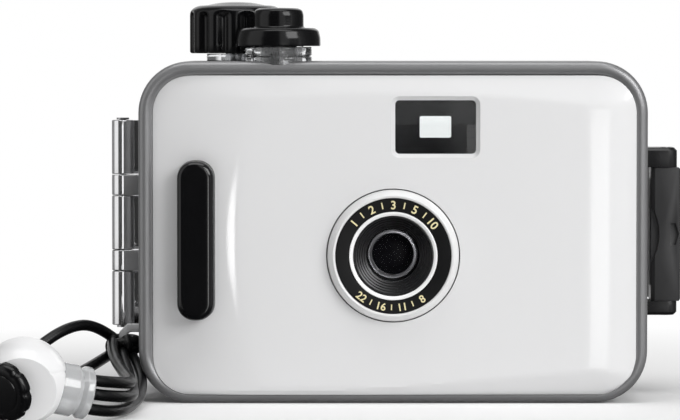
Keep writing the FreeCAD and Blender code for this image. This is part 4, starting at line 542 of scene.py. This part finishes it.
def makeGrip():
    reach = grip["round"]
    rows = [(grip["back"], 0.0)]
    for step in range(9):
        turn = math.pi / 2 * step / 8
        y = grip["front"] + reach * (1 - math.sin(turn))
        rows.append((y, reach * (1 - math.cos(turn))))
    # the last loop lies inside the face's soft edge
    rows.append((grip["front"], reach + grip["flat"]))
    loops = []
    for y, inset in rows:
        corner = max(grip["leastCorner"], grip["corner"] - inset)
        loops.append(frontBox(*grip["bar"], y, corner, -inset, steps=10))
    pad = joinLoops("gripPad", loops)
    settle(pad, "grip_black", gripBlack, ["grip_pad"], sharp=50)


makeGrip()
print("grip made")


# lens port, turned about the lens axis: outlines are (radius, depth from the wall's front)

port = {
    "z": 34.2, "wall": -19.2, "ringFace": -6.2,
    "coneRibs": 5, "coneRadius": 8.9, "coneDepth": -6.0, "ribStep": (0.53, 0.92),
    "bezel": [(13.4, 0), (15.25, 0), (15.25, -4.3), (14.9, -5.3), (13.95, -6.75), (13.4, -6.5)],
    "trim": [(10.2, 0), (10.2, -6.4), (9.85, -6.42), (9.3, -6.05), (9.3, 0)],
}
lensPlace = (0, port["wall"], port["z"])
alongLens = (0, 1, 0)


def makePort():
    face = port["ringFace"]
    cone = [(9.25, 0), (9.25, -5.95), (8.9, -6.0)]
    for rib in range(port["coneRibs"]):
        radius = port["coneRadius"] - port["ribStep"][0] * rib
        depth = port["coneDepth"] + port["ribStep"][1] * rib
        cone += [(radius - 0.1, depth + 0.45), (radius - 0.16, depth + 0.78)]
        cone.append((radius - 0.52, depth + 0.86))
    cone += [(6.25, -1.3), (6.25, 0)]
    ring = [(13.35, 0), (13.35, face), (12.9, face + 0.02), (10.4, face + 0.12)]
    ring += [(10.25, face + 0.25), (10.25, 0)]
    for name, outline, radius, steps, slot, material, node in (
        ("lensBezel", port["bezel"], 0.35, 4, "white_panel", partWhite, "lens_bezel"),
        ("indexRing", ring, 0.1, 4, "black_trim", ringBlack, "index_ring"),
        ("trimRing", port["trim"], 0.16, 4, "white_trim", trimWhite, "lens_trim_ring"),
        ("portCone", cone, 0.1, 2, "black_trim", coneBlack, "port_cone"),
    ):
        soft = softCorners(outline, radius, steps=steps)
        piece = turned(name, soft, lensPlace, alongLens, steps=144)
        settle(piece, slot, material, [node])


# the ring's printing: plain numbers over the lens and under it, with ticks between them

printRows = [
    {
        "marks": ("1", "2", "3", "5", "10"), "size": 2.7, "radius": 10.85, "side": 1,
        "from": -50, "sweep": 100, "tick": (0.3, 1.5), "tickTurn": 12.5, "tickRadius": 11.1,
    },
    {
        "marks": ("22", "16", "11", "8"), "size": 2.43, "radius": 12.75, "side": -1,
        "from": -38, "sweep": 72, "tick": (0.28, 1.3), "tickTurn": 12, "tickRadius": 12.5,
    },
]
ink = {"thick": 0.02, "spread": 0.045}


def markShape(text, size):
    curve = bpy.data.curves.new("mark", "FONT")
    curve.body = text
    curve.size = size * mm
    curve.extrude = ink["thick"] * mm
    curve.offset = ink["spread"] * mm
    curve.align_x = "CENTER"
    holder = addPiece("mark", curve)
    shape = shapeOf(holder)
    bpy.data.objects.remove(holder)
    return shape


def tickShape(width, length):
    shape = bpy.data.meshes.new("tick")
    w, h, t = width * mm / 2, length * mm, ink["thick"] * mm
    points = [(x, y, z) for z in (-t, t) for x, y in ((-w, 0), (w, 0), (w, h), (-w, h))]
    sides = [(0, 1, 5, 4), (1, 2, 6, 5), (2, 3, 7, 6), (3, 0, 4, 7)]
    shape.from_pydata(points, [], [(0, 3, 2, 1), (4, 5, 6, 7)] + sides)
    return shape


def makePrint():
    joined = bmesh.new()
    centre = at(0, port["wall"] + port["ringFace"] - ink["thick"], port["z"])

    def place(shape, turn, radius, side):
        # marks over the lens have their feet to it, and marks under it their heads
        out = Vector((math.sin(turn), 0, side * math.cos(turn)))
        right = Vector((math.cos(turn), 0, -side * math.sin(turn)))
        for vertex in shape.vertices:
            flat = vertex.co.copy()
            lift = Vector((0, -flat.z, 0))
            vertex.co = centre + out * (radius * mm + side * flat.y) + right * flat.x + lift
        joined.from_mesh(shape)

    for row in printRows:
        last = len(row["marks"]) - 1
        for index, text in enumerate(row["marks"]):
            turn = math.radians(row["from"] + row["sweep"] * index / last)
            place(markShape(text, row["size"]), turn, row["radius"], row["side"])
            if index < last:
                turn += math.radians(row["tickTurn"])
                place(tickShape(*row["tick"]), turn, row["tickRadius"], row["side"])
    mesh = bpy.data.meshes.new("ringPrint")
    joined.to_mesh(mesh)
    joined.free()
    settle(addPiece("ringPrint", mesh), "black_trim", printCream)


# over the front element: a slotted ring with a low ridge, and a dark shelf round it

element = {
    "y": -15.35, "slots": (54, 226), "slotReach": (4.4, 6.0), "slotHalf": 0.24,
    "slotDepths": (-15.8, -15.05),
    "ring": [
        (4.75, 0.5), (4.75, -0.1), (4.9, -0.185), (5.42, -0.145), (5.68, -0.165), (5.75, -0.1),
        (5.75, 0.5),
    ],
    "shelf": [(5.8, 0.5), (5.8, 0.05), (6.15, 0.05), (6.2, 0.1), (6.2, 0.5)],
}


def makeElementRing():
    inner, outer = element["slotReach"]
    half = element["slotHalf"]
    slot = [(inner, -half), (outer, -half), (outer, half), (inner, half)]
    for name, outline, material, turns in (
        ("elementRing", element["ring"], retainSteel, element["slots"]),
        ("elementShelf", element["shelf"], retainBlack, ()),
    ):
        soft = softCorners(outline, 0.03, steps=2)
        piece = turned(name, soft, (0, element["y"], port["z"]), alongLens, steps=144)
        cutters = []
        for turn in turns:
            c, s = math.cos(math.radians(turn)), math.sin(math.radians(turn))
            corners = [(r * c - v * s, port["z"] + r * s + v * c) for r, v in slot]
            cutters.append(frontPrism("slot", corners, *element["slotDepths"]))
        cutAway(piece, cutters)
        settle(piece, "black_trim", material, sharp=4)


makePort()
makePrint()
makeElementRing()
print("lens port made")


# finder: behind the panel's bevelled opening lie a pane and a black mask with its sight

finder = {
    # middle x and z, width and height
    "pane": (9.8, 63.9, 18.5, 12.2), "sight": (9.8, 63.9, 7.3, 5.0),
    "paneFront": -21.6, "paneBack": -21.2, "swell": 0.4, "cells": (24, 16),
    "maskDepths": (-21.05, -19.2), "maskCorner": 0.9, "sightCorner": 0.4,
    "sightCut": ((-18.9, 0.0), (-20.6, 0.0), (-21.3, 0.35)),
}


def makeFinder():
    x, z, width, height = finder["pane"]
    w, h = width / 2, height / 2
    columns, rows = finder["cells"]

    def place(layer, column, row):
        # the pane's front swells a little in the middle and its back is flat
        u, v = 2 * column / columns - 1, 2 * row / rows - 1
        swell = finder["swell"] * (1 - (u * u * w * w + v * v * h * h) / (w * w + h * h))
        y = finder["paneBack"] if layer else finder["paneFront"] - swell
        return at(x + u * w, y, z + v * h)

    pane = joinGrids("finderPane", columns, rows, place)
    settle(pane, "clear_pane", clearPane, ["finder_window"])
    mask = joinLoops("finderMask", [
        frontBox(*finder["pane"], y, finder["maskCorner"]) for y in finder["maskDepths"]
    ])
    cutAway(mask, [joinLoops("sight", [
        frontBox(*finder["sight"], y, finder["sightCorner"] + grow, grow)
        for y, grow in finder["sightCut"]
    ])])
    settle(mask, "black_trim", gripBlack, ["finder_mask"])


makeFinder()
print("finder made")


# winding knob: twelve rounded ribs under a smooth shoulder and a low dome

knob = {
    "place": (-37.0, 5.2, 80.9), "radius": 11.0, "ribs": 12, "ribDepth": 1.25, "ribPower": 1.6,
    "boreRadius": 2.52, "boreDepth": 10.1,
    # height, how far inside the radius, and the share of the ribs' depth
    "profile": (
        (0.0, 0.5, 0.8), (0.12, 0.18, 0.95), (0.4, 0, 1), (2.5, 0, 1), (5.5, 0, 1), (8.3, 0, 1),
        (8.9, 0, 0.94), (9.3, 0.02, 0.7), (9.6, 0.06, 0.4), (9.9, 0.16, 0.12), (10.2, 0.34, 0),
        (10.6, 0.72, 0), (10.95, 1.25, 0), (11.2, 1.9, 0), (11.32, 2.5, 0), (11.36, 3.4, 0),
        (11.42, 4.2, 0), (11.62, 5.1, 0), (11.86, 6.2, 0), (12.05, 7.6, 0), (12.15, 9.2, 0),
        (12.2, 10.95, 0),
    ),
    "collar": [(2.6, 79.1), (7.0, 79.1), (7.0, 80.8), (2.6, 80.8)],
}


def makeKnob():
    x, y, base = knob["place"]
    steps = knob["ribs"] * 18  # points round each rib
    ways = spokes(leftToRight, Vector((0, 1, 0)), steps)
    loops = []
    for z, inset, share in knob["profile"]:
        ring = []
        for step, way in enumerate(ways):
            dip = math.sin(math.pi * knob["ribs"] * step / steps) ** 2
            groove = knob["ribDepth"] * share * dip ** knob["ribPower"]
            ring.append(Vector((x, y, base + z)) + way * (knob["radius"] - inset - groove))
        loops.append(ring)
    piece = joinLoops("windingKnob", loops)
    radius, depth = knob["boreRadius"], knob["boreDepth"]
    hole = [(0.0, -1), (radius, -1), (radius, depth), (0.0, depth)]
    cutAway(piece, [turned("bore", hole, knob["place"], upward, closed=False)])
    settle(piece, "knob_black", knobBlack, ["winding_knob"], sharp=48, body="winding")
    collar = turned("knobCollar", softCorners(knob["collar"], 0.25), (x, y, 0), upward)
    settle(collar, "clear_collar", clearPlastic, ["knob_collar"])


makeKnob()
print("knob made")


# shutter button: a wide skirt and a narrow top, over a clear stepped collar

button = {
    "place": (-26.6, -14.1, 82.6), "skirt": 9.8, "top": 5.85,
    "collar": [
        (4.3, 78.2), (7.75, 78.2), (7.75, 80.0), (7.35, 80.3), (7.75, 80.6), (7.75, 82.2),
        (7.55, 82.4), (4.3, 82.4),
    ],
}


def makeButton():
    x, y = button["place"][:2]
    skirt, top = button["skirt"], button["top"]
    outline = [
        (0.0, 2.8), (8.1, 2.8), (8.1, 0.0), (skirt - 0.1, 0.0), (skirt, 0.3),
        (skirt - 0.05, 2.0), (skirt - 0.45, 3.6), (skirt - 1.3, 4.2), (top + 0.35, 4.25),
        (top, 4.6), (top - 0.02, 7.3), (top - 0.35, 8.35), (top - 1.3, 8.8), (0.0, 8.95),
    ]
    soft = softCorners(outline, 0.35, closed=False)
    piece = turned("buttonCap", soft, button["place"], upward, closed=False)
    settle(piece, "knob_black", knobBlack, ["button_cap"], sharp=40, body="button")
    soft = softCorners(button["collar"], 0.12, steps=2)
    collar = turned("buttonCollar", soft, (x, y, 0), upward)
    settle(collar, "clear_collar", clearPlastic, ["button_collar"])


makeButton()
print("button made")


# hinge: bright sleeves over the knuckles, with their leaves against the case

hinge = {
    "place": (-64.5, 14.0, 15.65), "radius": 2.68, "bore": 0.92,
    "long": 12.9, "short": 4.85, "gap": 0.2, "longLeaf": (0.25, 2.66), "shortLeaf": (-2.66, -0.05),
    "leafSide": -58.6, "leafOver": 0.03, "leafEdge": 0.12,
}


def makeHinge():
    x, y, z = hinge["place"]
    radius, bore = hinge["radius"], hinge["bore"]
    for index in range(5):
        kind = "short" if index % 2 else "long"
        length = hinge[kind]
        body = "housing" if index % 2 else "rear_cover"
        outline = softCorners([(bore, 0.0), (radius, 0.0), (radius, length), (bore, length)], 0.22)
        sleeve = turned(f"hingeSleeve{index}", outline, (x, y, z), upward, steps=72)
        settle(sleeve, "steel", hingeChrome, body=body)
        # a leaf lies outside each knuckle's web
        front, back = (y + way for way in hinge[kind + "Leaf"])
        leaf = joinLoops(f"hingeLeaf{index}", [
            [Vector((u, v, height)) for u, v in (
                (x, front), (hinge["leafSide"], front), (hinge["leafSide"], back), (x, back),
            )]
            for height in (z - hinge["leafOver"], z + length + hinge["leafOver"])
        ])
        faceOut(leaf)
        roundEdges(leaf, hinge["leafEdge"])
        settle(leaf, "steel", leafBrushed if index % 2 else leafChrome, body=body)
        z += length + hinge["gap"]


makeHinge()
print("hinge made")


# pieces that keep their solid's form: latch, strap bar and springs

def copied(name, node):
    return addPiece(name, nodes[node].data.copy())


def softened(name, node, width, slot, material, body="housing"):
    # its form with softened edges
    piece = copied(name, node)

    def simplify(shape):
        bmesh.ops.remove_doubles(shape, verts=shape.verts, dist=0.002 * mm)
        bmesh.ops.dissolve_limit(
            shape, angle_limit=math.radians(1.0), verts=shape.verts, edges=shape.edges
        )

    reshape(piece, simplify)
    roundEdges(piece, width)
    settle(piece, slot, material, [node], body=body)


latch = {"edge": 0.3, "earEdge": 0.25}
softened("latchLever", "latch_lever", latch["edge"], "dark_plastic", latchBlack, "latch")
softened("latchBracket", "latch_bracket", latch["earEdge"], "dark_plastic", earBlack)
print("latch made")


# wrist strap; the cords' corners are given from the strap bar, as in the solid model

bar = {"x": -63.6, "y": -2.0, "edge": 0.35}
cord = {"diameter": 2.6, "loopLength": 0.362, "strandLengths": (0.0753, 0.0733, 0.0728)}
coil = {
    "x": -44.4, "y": -50.0, "floor": 1.35, "outer": 16.2, "step": 3.6, "layer": 3.1,
    "turns": 2.5, "start": 137.6, "wayIn": 8.0, "wayOut": 9.0,
}
arcWay = [
    (-2.1, 1.1, 13.2), (-6.4, -4.3, 17.3), (-12.8, -11.4, 16.9), (-20.2, -17.6, 11.8),
    (-28.8, -21.9, 5.0), (-39.4, -25.8, 1.8),
]
backWay = [
    (-19.9, -45.0, 4.6), (-13.4, -31.5, 5.6), (-7.9, -17.5, 7.4), (-4.3, -6.8, 9.2),
    (-2.7, -0.6, 9.9),
]
lockWays = [
    [
        (-10.5, -69.4, 4.7), (-5.4, -67.5, 3.2), (-0.6, -63.2, 2.0),
        (2.6, -55.8, 1.5), (4.4, -43.8, 1.5), (5.6, -31.0, 2.6),
        (5.4, -18.5, 5.2), (3.6, -8.5, 7.9), (2.4, -3.0, 9.3),
    ],
    [
        (-9.8, -69.1, 7.7), (-3.2, -66.7, 6.1), (1.6, -62.2, 5.2),
        (4.6, -55.4, 4.6), (4.8, -44.0, 4.3), (3.6, -31.0, 5.1),
        (2.1, -19.0, 7.4), (0.6, -10.0, 9.4), (0.0, -4.0, 10.4),
    ],
    [
        (-9.2, -68.9, 10.6), (-3.0, -66.6, 9.1), (1.7, -62.2, 8.3),
        (4.5, -55.8, 7.6), (4.2, -45.0, 7.2), (2.0, -32.5, 7.7),
        (-0.6, -20.0, 9.6), (-2.0, -10.5, 11.5), (-2.3, -4.0, 12.7),
    ],
]


def fromBar(way):
    return [Vector((bar["x"] + x, bar["y"] + y, z)) for x, y, z in way]


def coilPlace(turn):
    spin = math.radians(coil["start"]) + 2 * math.pi * turn
    inner = coil["outer"] - coil["step"]
    radius, z = inner, coil["floor"]
    if turn < 1.0:
        radius = coil["outer"] - coil["step"] * turn
    elif turn < 1.5:
        z += coil["layer"] * (1 - math.cos(2 * math.pi * (turn - 1.0))) / 2
    else:
        radius = inner + coil["step"] * (turn - 1.5)
        z += coil["layer"]
    x = bar["x"] + coil["x"] + radius * math.cos(spin)
    y = bar["y"] + coil["y"] + radius * math.sin(spin)
    return Vector((x, y, z))


def cordCurve(name, points):
    curve = bpy.data.curves.new(name, "CURVE")
    curve.dimensions = "3D"
    spline = curve.splines.new("NURBS")
    spline.points.add(len(points) - 1)
    for target, point in zip(spline.points, points):
        target.co = (*(point * mm), 1.0)
    spline.order_u = 3
    spline.use_endpoint_u = True
    spline.resolution_u = 10
    curve.bevel_depth = cord["diameter"] / 2 * mm
    curve.bevel_resolution = 6
    curve.use_fill_caps = True
    return addPiece(name, curve)


def makeCords():
    wayIn = (coilPlace(0.001) - coilPlace(0)).normalized()
    wayOut = (coilPlace(coil["turns"]) - coilPlace(coil["turns"] - 0.001)).normalized()
    coilIn = coilPlace(0) - wayIn * cord["diameter"]
    coilOut = coilPlace(coil["turns"]) + wayOut * cord["diameter"]
    route = fromBar(arcWay) + [coilIn - wayIn * coil["wayIn"]]
    steps = round(coil["turns"] * 16)
    route += [coilPlace(coil["turns"] * index / steps) for index in range(steps + 1)]
    route += [coilOut + wayOut * coil["wayOut"]] + fromBar(backWay)
    loop = settle(
        cordCurve("handLoop", route), "cord_black", cordBlack,
        ["strap_arc_strand", "strap_coil", "strap_back_strand"],
    )
    strands = []
    for index, way in enumerate(lockWays):
        points = fromBar(way)[::-1]
        strand = cordCurve(f"lockStrand{index + 1}", points)
        settle(strand, "cord_black", cordBlack, ["strap_lock_strands"])
        strands.append((strand, tuple(points[0] * mm)))
    return strands


strands = makeCords()


# the knot: two turns round the bar, drawn tight, and two short bights over them

knot = {
    "radius": 2.96, "heights": (10.4, 13.1), "start": 120, "thick": 1.28,
    "bights": (215, 290), "bightThick": 1.2, "bightOver": 0.6, "bightRise": 1.3,
}


def tube(name, points, radius):
    # a round tube along points, with its section kept square to the way
    loops = []
    last = len(points) - 1
    normal = None
    for index, point in enumerate(points):
        way = (points[min(index + 1, last)] - points[max(index - 1, 0)]).normalized()
        if normal is None:
            normal = way.orthogonal().normalized()
        else:
            normal = (normal - way * normal.dot(way)).normalized()
        ways = spokes(normal, way.cross(normal), 20)
        loops.append([point + out * radius for out in ways])
    return joinLoops(name, loops)


def barPoint(turn, reach, z):
    return Vector((bar["x"] + reach * math.cos(turn), bar["y"] + reach * math.sin(turn), z))


def makeKnot():
    low, high = knot["heights"]
    points = []
    for step in range(73):
        turn = math.radians(knot["start"] + 10 * step)
        z = low + (high - low) * smoothStep(step / 72)
        points.append(barPoint(turn, knot["radius"], z))
    wraps = tube("knotWraps", points, knot["thick"])
    settle(wraps, "cord_black", cordBlack, ["strap_knot"], sharp=60)
    over = knot["bightOver"]
    for index, degrees in enumerate(knot["bights"]):
        points = []
        for step in range(13):
            share = step / 12
            reach = knot["radius"] - over + knot["bightRise"] * math.sin(math.pi * share)
            z = low - over + (high - low + 2 * over) * share
            points.append(barPoint(math.radians(degrees), reach, z))
        bight = tube(f"knotBight{index + 1}", points, knot["bightThick"])
        settle(bight, "cord_black", cordBlack, sharp=60)
    softened("strapBar", "strap_bar", bar["edge"], "clear_bar", barPlastic)


makeKnot()
print("cords and knot made")


# cord lock: a white bead with a seam, a scalloped black cap, a clear plunger and its spring

lock = {
    "centre": Vector((-81.3, -74.0, 9.6)), "radius": 9.6, "yaw": 20.0, "pitch": -13.0,
    "seamTilt": 12, "seamHalf": 2.5, "seamDepth": 0.22,
    "bore": [(0, -1), (6.1, -1), (6.1, 8.6), (6.9, 11), (0, 11)],
    "capWay": Vector((-0.5, -0.83, -0.25)).normalized(), "capSeat": 6.9,
    "scallops": 8, "scallopDepth": 0.35,
    # distance from the seat, and radius
    "capProfile": (
        (0.0, 6.7), (0.9, 6.7), (1.5, 6.55), (1.95, 6.2), (2.2, 5.75), (2.3, 5.2),
        (2.3, 4.75), (2.1, 4.6), (2.1, 4.3), (2.32, 4.15), (2.4, 3.2), (2.4, 0.02),
    ),
    "plungerRadius": 5.8, "plungerEnd": 14.8, "slot": (3.2, 9.4), "slotFloor": 8.3,
}
lockYaw, lockPitch = math.radians(lock["yaw"]), math.radians(lock["pitch"])
level = Vector((math.cos(lockYaw), math.sin(lockYaw), 0))
lockAxis = level * math.cos(lockPitch) + upward * math.sin(lockPitch)
lockUp = (upward - lockAxis * lockAxis.z).normalized()


def makeBead():
    outline = []
    for step in range(73):
        tilt = -math.pi / 2 + math.pi * step / 72
        near = abs(math.degrees(tilt) - lock["seamTilt"]) / lock["seamHalf"]
        radius = lock["radius"] - lock["seamDepth"] * max(0.0, 1 - near)
        outline.append((radius * math.cos(tilt), radius * math.sin(tilt)))
    centre, seat = lock["centre"], lock["capSeat"]
    piece = turned("lockBead", outline, centre, upward, closed=False, steps=120)
    flat = [(0, seat), (12, seat), (12, 14), (0, 14)]
    cutAway(piece, [
        turned("bore", lock["bore"], centre, lockAxis, closed=False),
        turned("slab", flat, centre, lock["capWay"], closed=False),
    ])
    return settle(piece, "bead_white", beadWhite, ["cord_lock_body"], sharp=28)


def makeCap():
    way = lock["capWay"]
    side = way.cross(upward).normalized()
    steps = lock["scallops"] * 20
    ways = spokes(side, way.cross(side), steps)
    loops = []
    for along, radius in lock["capProfile"]:
        depth = lock["scallopDepth"] * smoothStep((radius - 4.8) / 1.6)
        middle = lock["centre"] + way * (lock["capSeat"] + along)
        ring = []
        for step, out in enumerate(ways):
            dip = max(0.0, math.cos(2 * math.pi * lock["scallops"] * step / steps)) ** 3
            ring.append(middle + out * (radius - depth * dip))
        loops.append(ring)
    piece = joinLoops("lockCap", loops)
    return settle(piece, "bead_black", capBlack, ["cord_lock_cap"], sharp=40)


def makePlunger():
    centre, radius, end = lock["centre"], lock["plungerRadius"], lock["plungerEnd"]
    neck = radius - 0.7
    outline = [
        (0, 4.0), (radius - 0.05, 4.0), (radius, 4.3), (radius, end - 3.5), (neck, end - 2.65),
        (neck, end - 2.55), (radius, end - 1.7), (radius, end - 0.3), (radius - 0.3, end),
        (0, end),
    ]
    soft = softCorners(outline, 0.18, closed=False, steps=3)
    piece = turned("lockPlunger", soft, centre, lockAxis, closed=False)
    # a slot in its end takes the strands
    across = lockUp.cross(lockAxis)
    u, v = (size / 2 for size in lock["slot"])
    slot = roundedBox(-u, u, -v, v, u - 0.01)
    cutAway(piece, [joinLoops("slot", [
        [centre + lockAxis * depth + across * a + lockUp * b for a, b in slot]
        for depth in (lock["slotFloor"], end + 1)
    ])])
    stands = ["cord_lock_plunger"]
    return settle(piece, "bead_clear", plungerClear, stands, body="lock_plunger")


def makeSpring(name, node):
    piece = copied(name, node)
    settle(piece, "steel", plainSteel, [node])
    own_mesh(piece)
    return piece


makeSpring("buttonSpring", "button_spring")
lockSpring = makeSpring(
    "lockSpring", "cord_lock_spring"
)
bead = makeBead()
cap = makeCap()
plunger = makePlunger()
print("cord lock made")


# nodes that keep their own form

dressed = (
    (shellGrey, "front_shell"),
    (coverGrey, "rear_cover"),
    (portGlass, "port_glass"),
    (clearPane, "eyepiece_window", "finder_front_lens", "finder_rear_lens"),
    # the front element carries painted shade: opaque near black in place of the dark view through
    # it
    (elementPaintedShade, "front_element"),
    (lensGlass, "rear_element"),
    (earBlack, "button_plunger", "port_retainer"),
    (sealRubber, "port_seal", "winding_seal", "button_seal", "case_gasket"),
    (plainSteel, "hinge_pin", "latch_pin", "winding_shaft", "pressure_spring"),
    (plainSteel, "bracket_screws", "camera_screws"),
    (cameraBlack, "camera_front_cover", "camera_top_cover", "film_door", "lens_barrel"),
    (chassisBlack, "camera_chassis", "thumbwheel", "take_up_spool", "sprocket"),
    (chassisBlack, "release_button"),
    (shutterBlack, "shutter_plate", "shutter_leaf", "pressure_plate"),
    (dialWhite, "counter_dial"),
    (rewindGrey, "rewind_knob", "rewind_crank"),
)
for material, *names in dressed:
    for name in names:
        nodes[name].data.materials.clear()
        nodes[name].data.materials.append(material)
# lamps shine through what is clear
for name in ("port_glass", "eyepiece_window", "finder_front_lens", "finder_rear_lens"):
    nodes[name].visible_shadow = False
for name in ("finderPane", "buttonCollar", "knobCollar"):
    bpy.data.objects[name].visible_shadow = False
print("nodes dressed")


# studio: a pale floor, soft lamps, and a world that is white to the eye

studio = {
    "floorColour": 0.96, "floorHalf": 3.0, "floorDrop": 0.0002, "shadowReach": (0.08, 0.24),
    "worldLight": 0.28, "lowGloss": 0.08, "lowDirections": (-0.5, -0.1),
    # what gloss sees round the horizon: degrees from the back over the left, the front and
    # the right, and grey level
    "bands": (
        (-180, 1.0), (-158, 1.0), (-150, 0.2), (-108, 0.22), (-98, 0.35), (-88, 0.95),
        (-50, 1.0), (-44, 0.1), (-36, 0.04), (2.5, 0.03), (6, 1.0), (27, 1.0), (33, 0.2),
        (50, 0.35), (57, 0.55), (70, 0.55), (84, 0.25), (105, 0.12), (148, 0.12), (158, 1.0),
        (180, 1.0),
    ),
}
pureWhite = (1, 1, 1, 1)


def mixShaders(tree, share, first, second):
    mixed = addNode(tree, "MixShader", {"Fac": share, 1: first, 2: second})
    return mixed.outputs["Shader"]


def makeWorld():
    world = bpy.data.worlds.new("studioWorld")
    scene.world = world
    world.use_nodes = True
    tree = world.node_tree
    tree.nodes.clear()
    path = addNode(tree, "LightPath", {}).outputs
    where = addNode(tree, "TexCoord", {}).outputs["Generated"]
    parts = addNode(tree, "SeparateXYZ", {"Vector": where}).outputs
    ahead = addMath(tree, "MULTIPLY", parts["Y"], -1.0)
    angle = addMath(tree, "ARCTAN2", parts["X"], ahead)
    spread = addNode(tree, "MapRange", {"Value": angle, "From Min": -math.pi, "From Max": math.pi})
    bands = addNode(tree, "ValToRGB", {"Fac": spread.outputs["Result"]})
    ramp = bands.color_ramp
    while len(ramp.elements) < len(studio["bands"]):
        ramp.elements.new(0.5)
    for element, (degrees, level) in zip(ramp.elements, studio["bands"]):
        element.position = (degrees + 180) / 360
        element.color = (level, level, level, 1)
    # and less from below, where the object's own shadow lies
    lowest, low = studio["lowDirections"]
    rise = addNode(tree, "MapRange", {
        "Value": parts["Z"], "From Min": lowest, "From Max": low, "To Min": studio["lowGloss"],
    })
    glossy = addNode(tree, "Background", {
        "Color": bands.outputs["Color"], "Strength": rise.outputs["Result"],
    })
    white = addNode(tree, "Background", {"Color": pureWhite})
    soft = addNode(tree, "Background", {"Color": pureWhite, "Strength": studio["worldLight"]})
    seen = addMath(tree, "MAXIMUM", path["Is Glossy Ray"], path["Is Transmission Ray"])
    # light off a matt surface finds the soft level instead
    straight = addMath(tree, "LESS_THAN", path["Diffuse Depth"], 0.5)
    direct = addMath(tree, "MULTIPLY", seen, straight)
    light = mixShaders(tree, direct, soft.outputs["Background"], glossy.outputs["Background"])
    surface = mixShaders(tree, path["Is Camera Ray"], light, white.outputs["Background"])
    addNode(tree, "OutputWorld", {"Surface": surface})


def makeFloor():
    half = studio["floorHalf"]
    corners = [(-half, -half, 0), (half, -half, 0), (half, half, 0), (-half, half, 0)]
    floor = addMesh("floor", corners, [(0, 1, 2, 3)])
    floor.location = (0, 0, -studio["floorDrop"])
    material = bpy.data.materials.new("floorPale")
    material.use_nodes = True
    tree = material.node_tree
    tree.nodes.clear()
    level = studio["floorColour"]
    matt = addNode(tree, "BsdfDiffuse", {"Color": (level, level, level, 1)})
    white = addNode(tree, "Emission", {"Color": pureWhite})
    # away from the object's shadow the floor is plain white to the eye
    where = addNode(tree, "TexCoord", {}).outputs["Object"]
    reach = addNode(tree, "VectorMath", {0: where}, operation="LENGTH").outputs["Value"]
    near, far = studio["shadowReach"]
    away = addNode(tree, "MapRange", {"Value": reach, "From Min": near, "From Max": far})
    path = addNode(tree, "LightPath", {}).outputs
    seen = addMath(tree, "MAXIMUM", path["Is Camera Ray"], path["Is Glossy Ray"])
    seen = addMath(tree, "MAXIMUM", seen, path["Is Transmission Ray"])
    share = addMath(tree, "MULTIPLY", away.outputs["Result"], seen)
    surface = mixShaders(tree, share, matt.outputs["BSDF"], white.outputs["Emission"])
    addNode(tree, "OutputMaterial", {"Surface": surface})
    floor.data.materials.append(material)
    floor.visible_glossy = False


# lamps: place, aim and size in metres, power in watts, and shape where it isn't a rectangle

middle = (0, 0, 0.04)
lamps = {
    "keySoftbox": ((1.35, -1.6, 1.0), middle, (1.2, 1.2), 31.0),
    "topSoftbox": ((0.0, -0.35, 1.4), middle, (1.2, 0.8), 8.0),
    "crescentLamp": ((-0.355, -2.0, -0.059), (-0.355, 0, -0.059), (0.17, 0.15), 0.9, "ELLIPSE"),
    "gripLamp": ((0.42, -2.0, 0.0), (0.42, 0, 0.0), (0.1, 1.2), 3.0),
    "stripLamp": ((0.47, -2.0, -0.06), (0.47, 0, -0.06), (0.4, 0.2), 0.75),
    "hingeLamp": ((-0.075, -2.0, -0.06), (-0.075, 0, -0.06), (0.42, 0.7), 1.1),
    "ringLamp": ((0.136, -1.2, 0.113), (0, 0, 0.034), (0.12, 0.12), 3.6, "ELLIPSE"),
    "edgeLamp": ((1.35, -0.75, 0.1), middle, (0.07, 1.1), 0.3),
}
# these give a gleam to their own pieces alone
gleams = {
    "crescentLamp": ["frontPanel"],
    "gripLamp": ["gripPad"],
    "hingeLamp": [f"hingeSleeve{index}" for index in range(5)],
    "ringLamp": ["elementRing"],
}


def makeLamp(name, place, aim, size, power, shape="RECTANGLE"):
    data = bpy.data.lights.new(name, "AREA")
    data.shape = shape
    data.size, data.size_y = size
    data.energy = power
    holder = addPiece(name, data)
    aimAt(holder, place, aim)
    holder.visible_camera = False
    if name in gleams:
        lit = bpy.data.collections.new(name + "Lit")
        for piece in gleams[name]:
            lit.objects.link(bpy.data.objects[piece])
        holder.light_linking.receiver_collection = lit


makeWorld()
makeFloor()
for name, lamp in lamps.items():
    makeLamp(name, *lamp)
print("studio made")
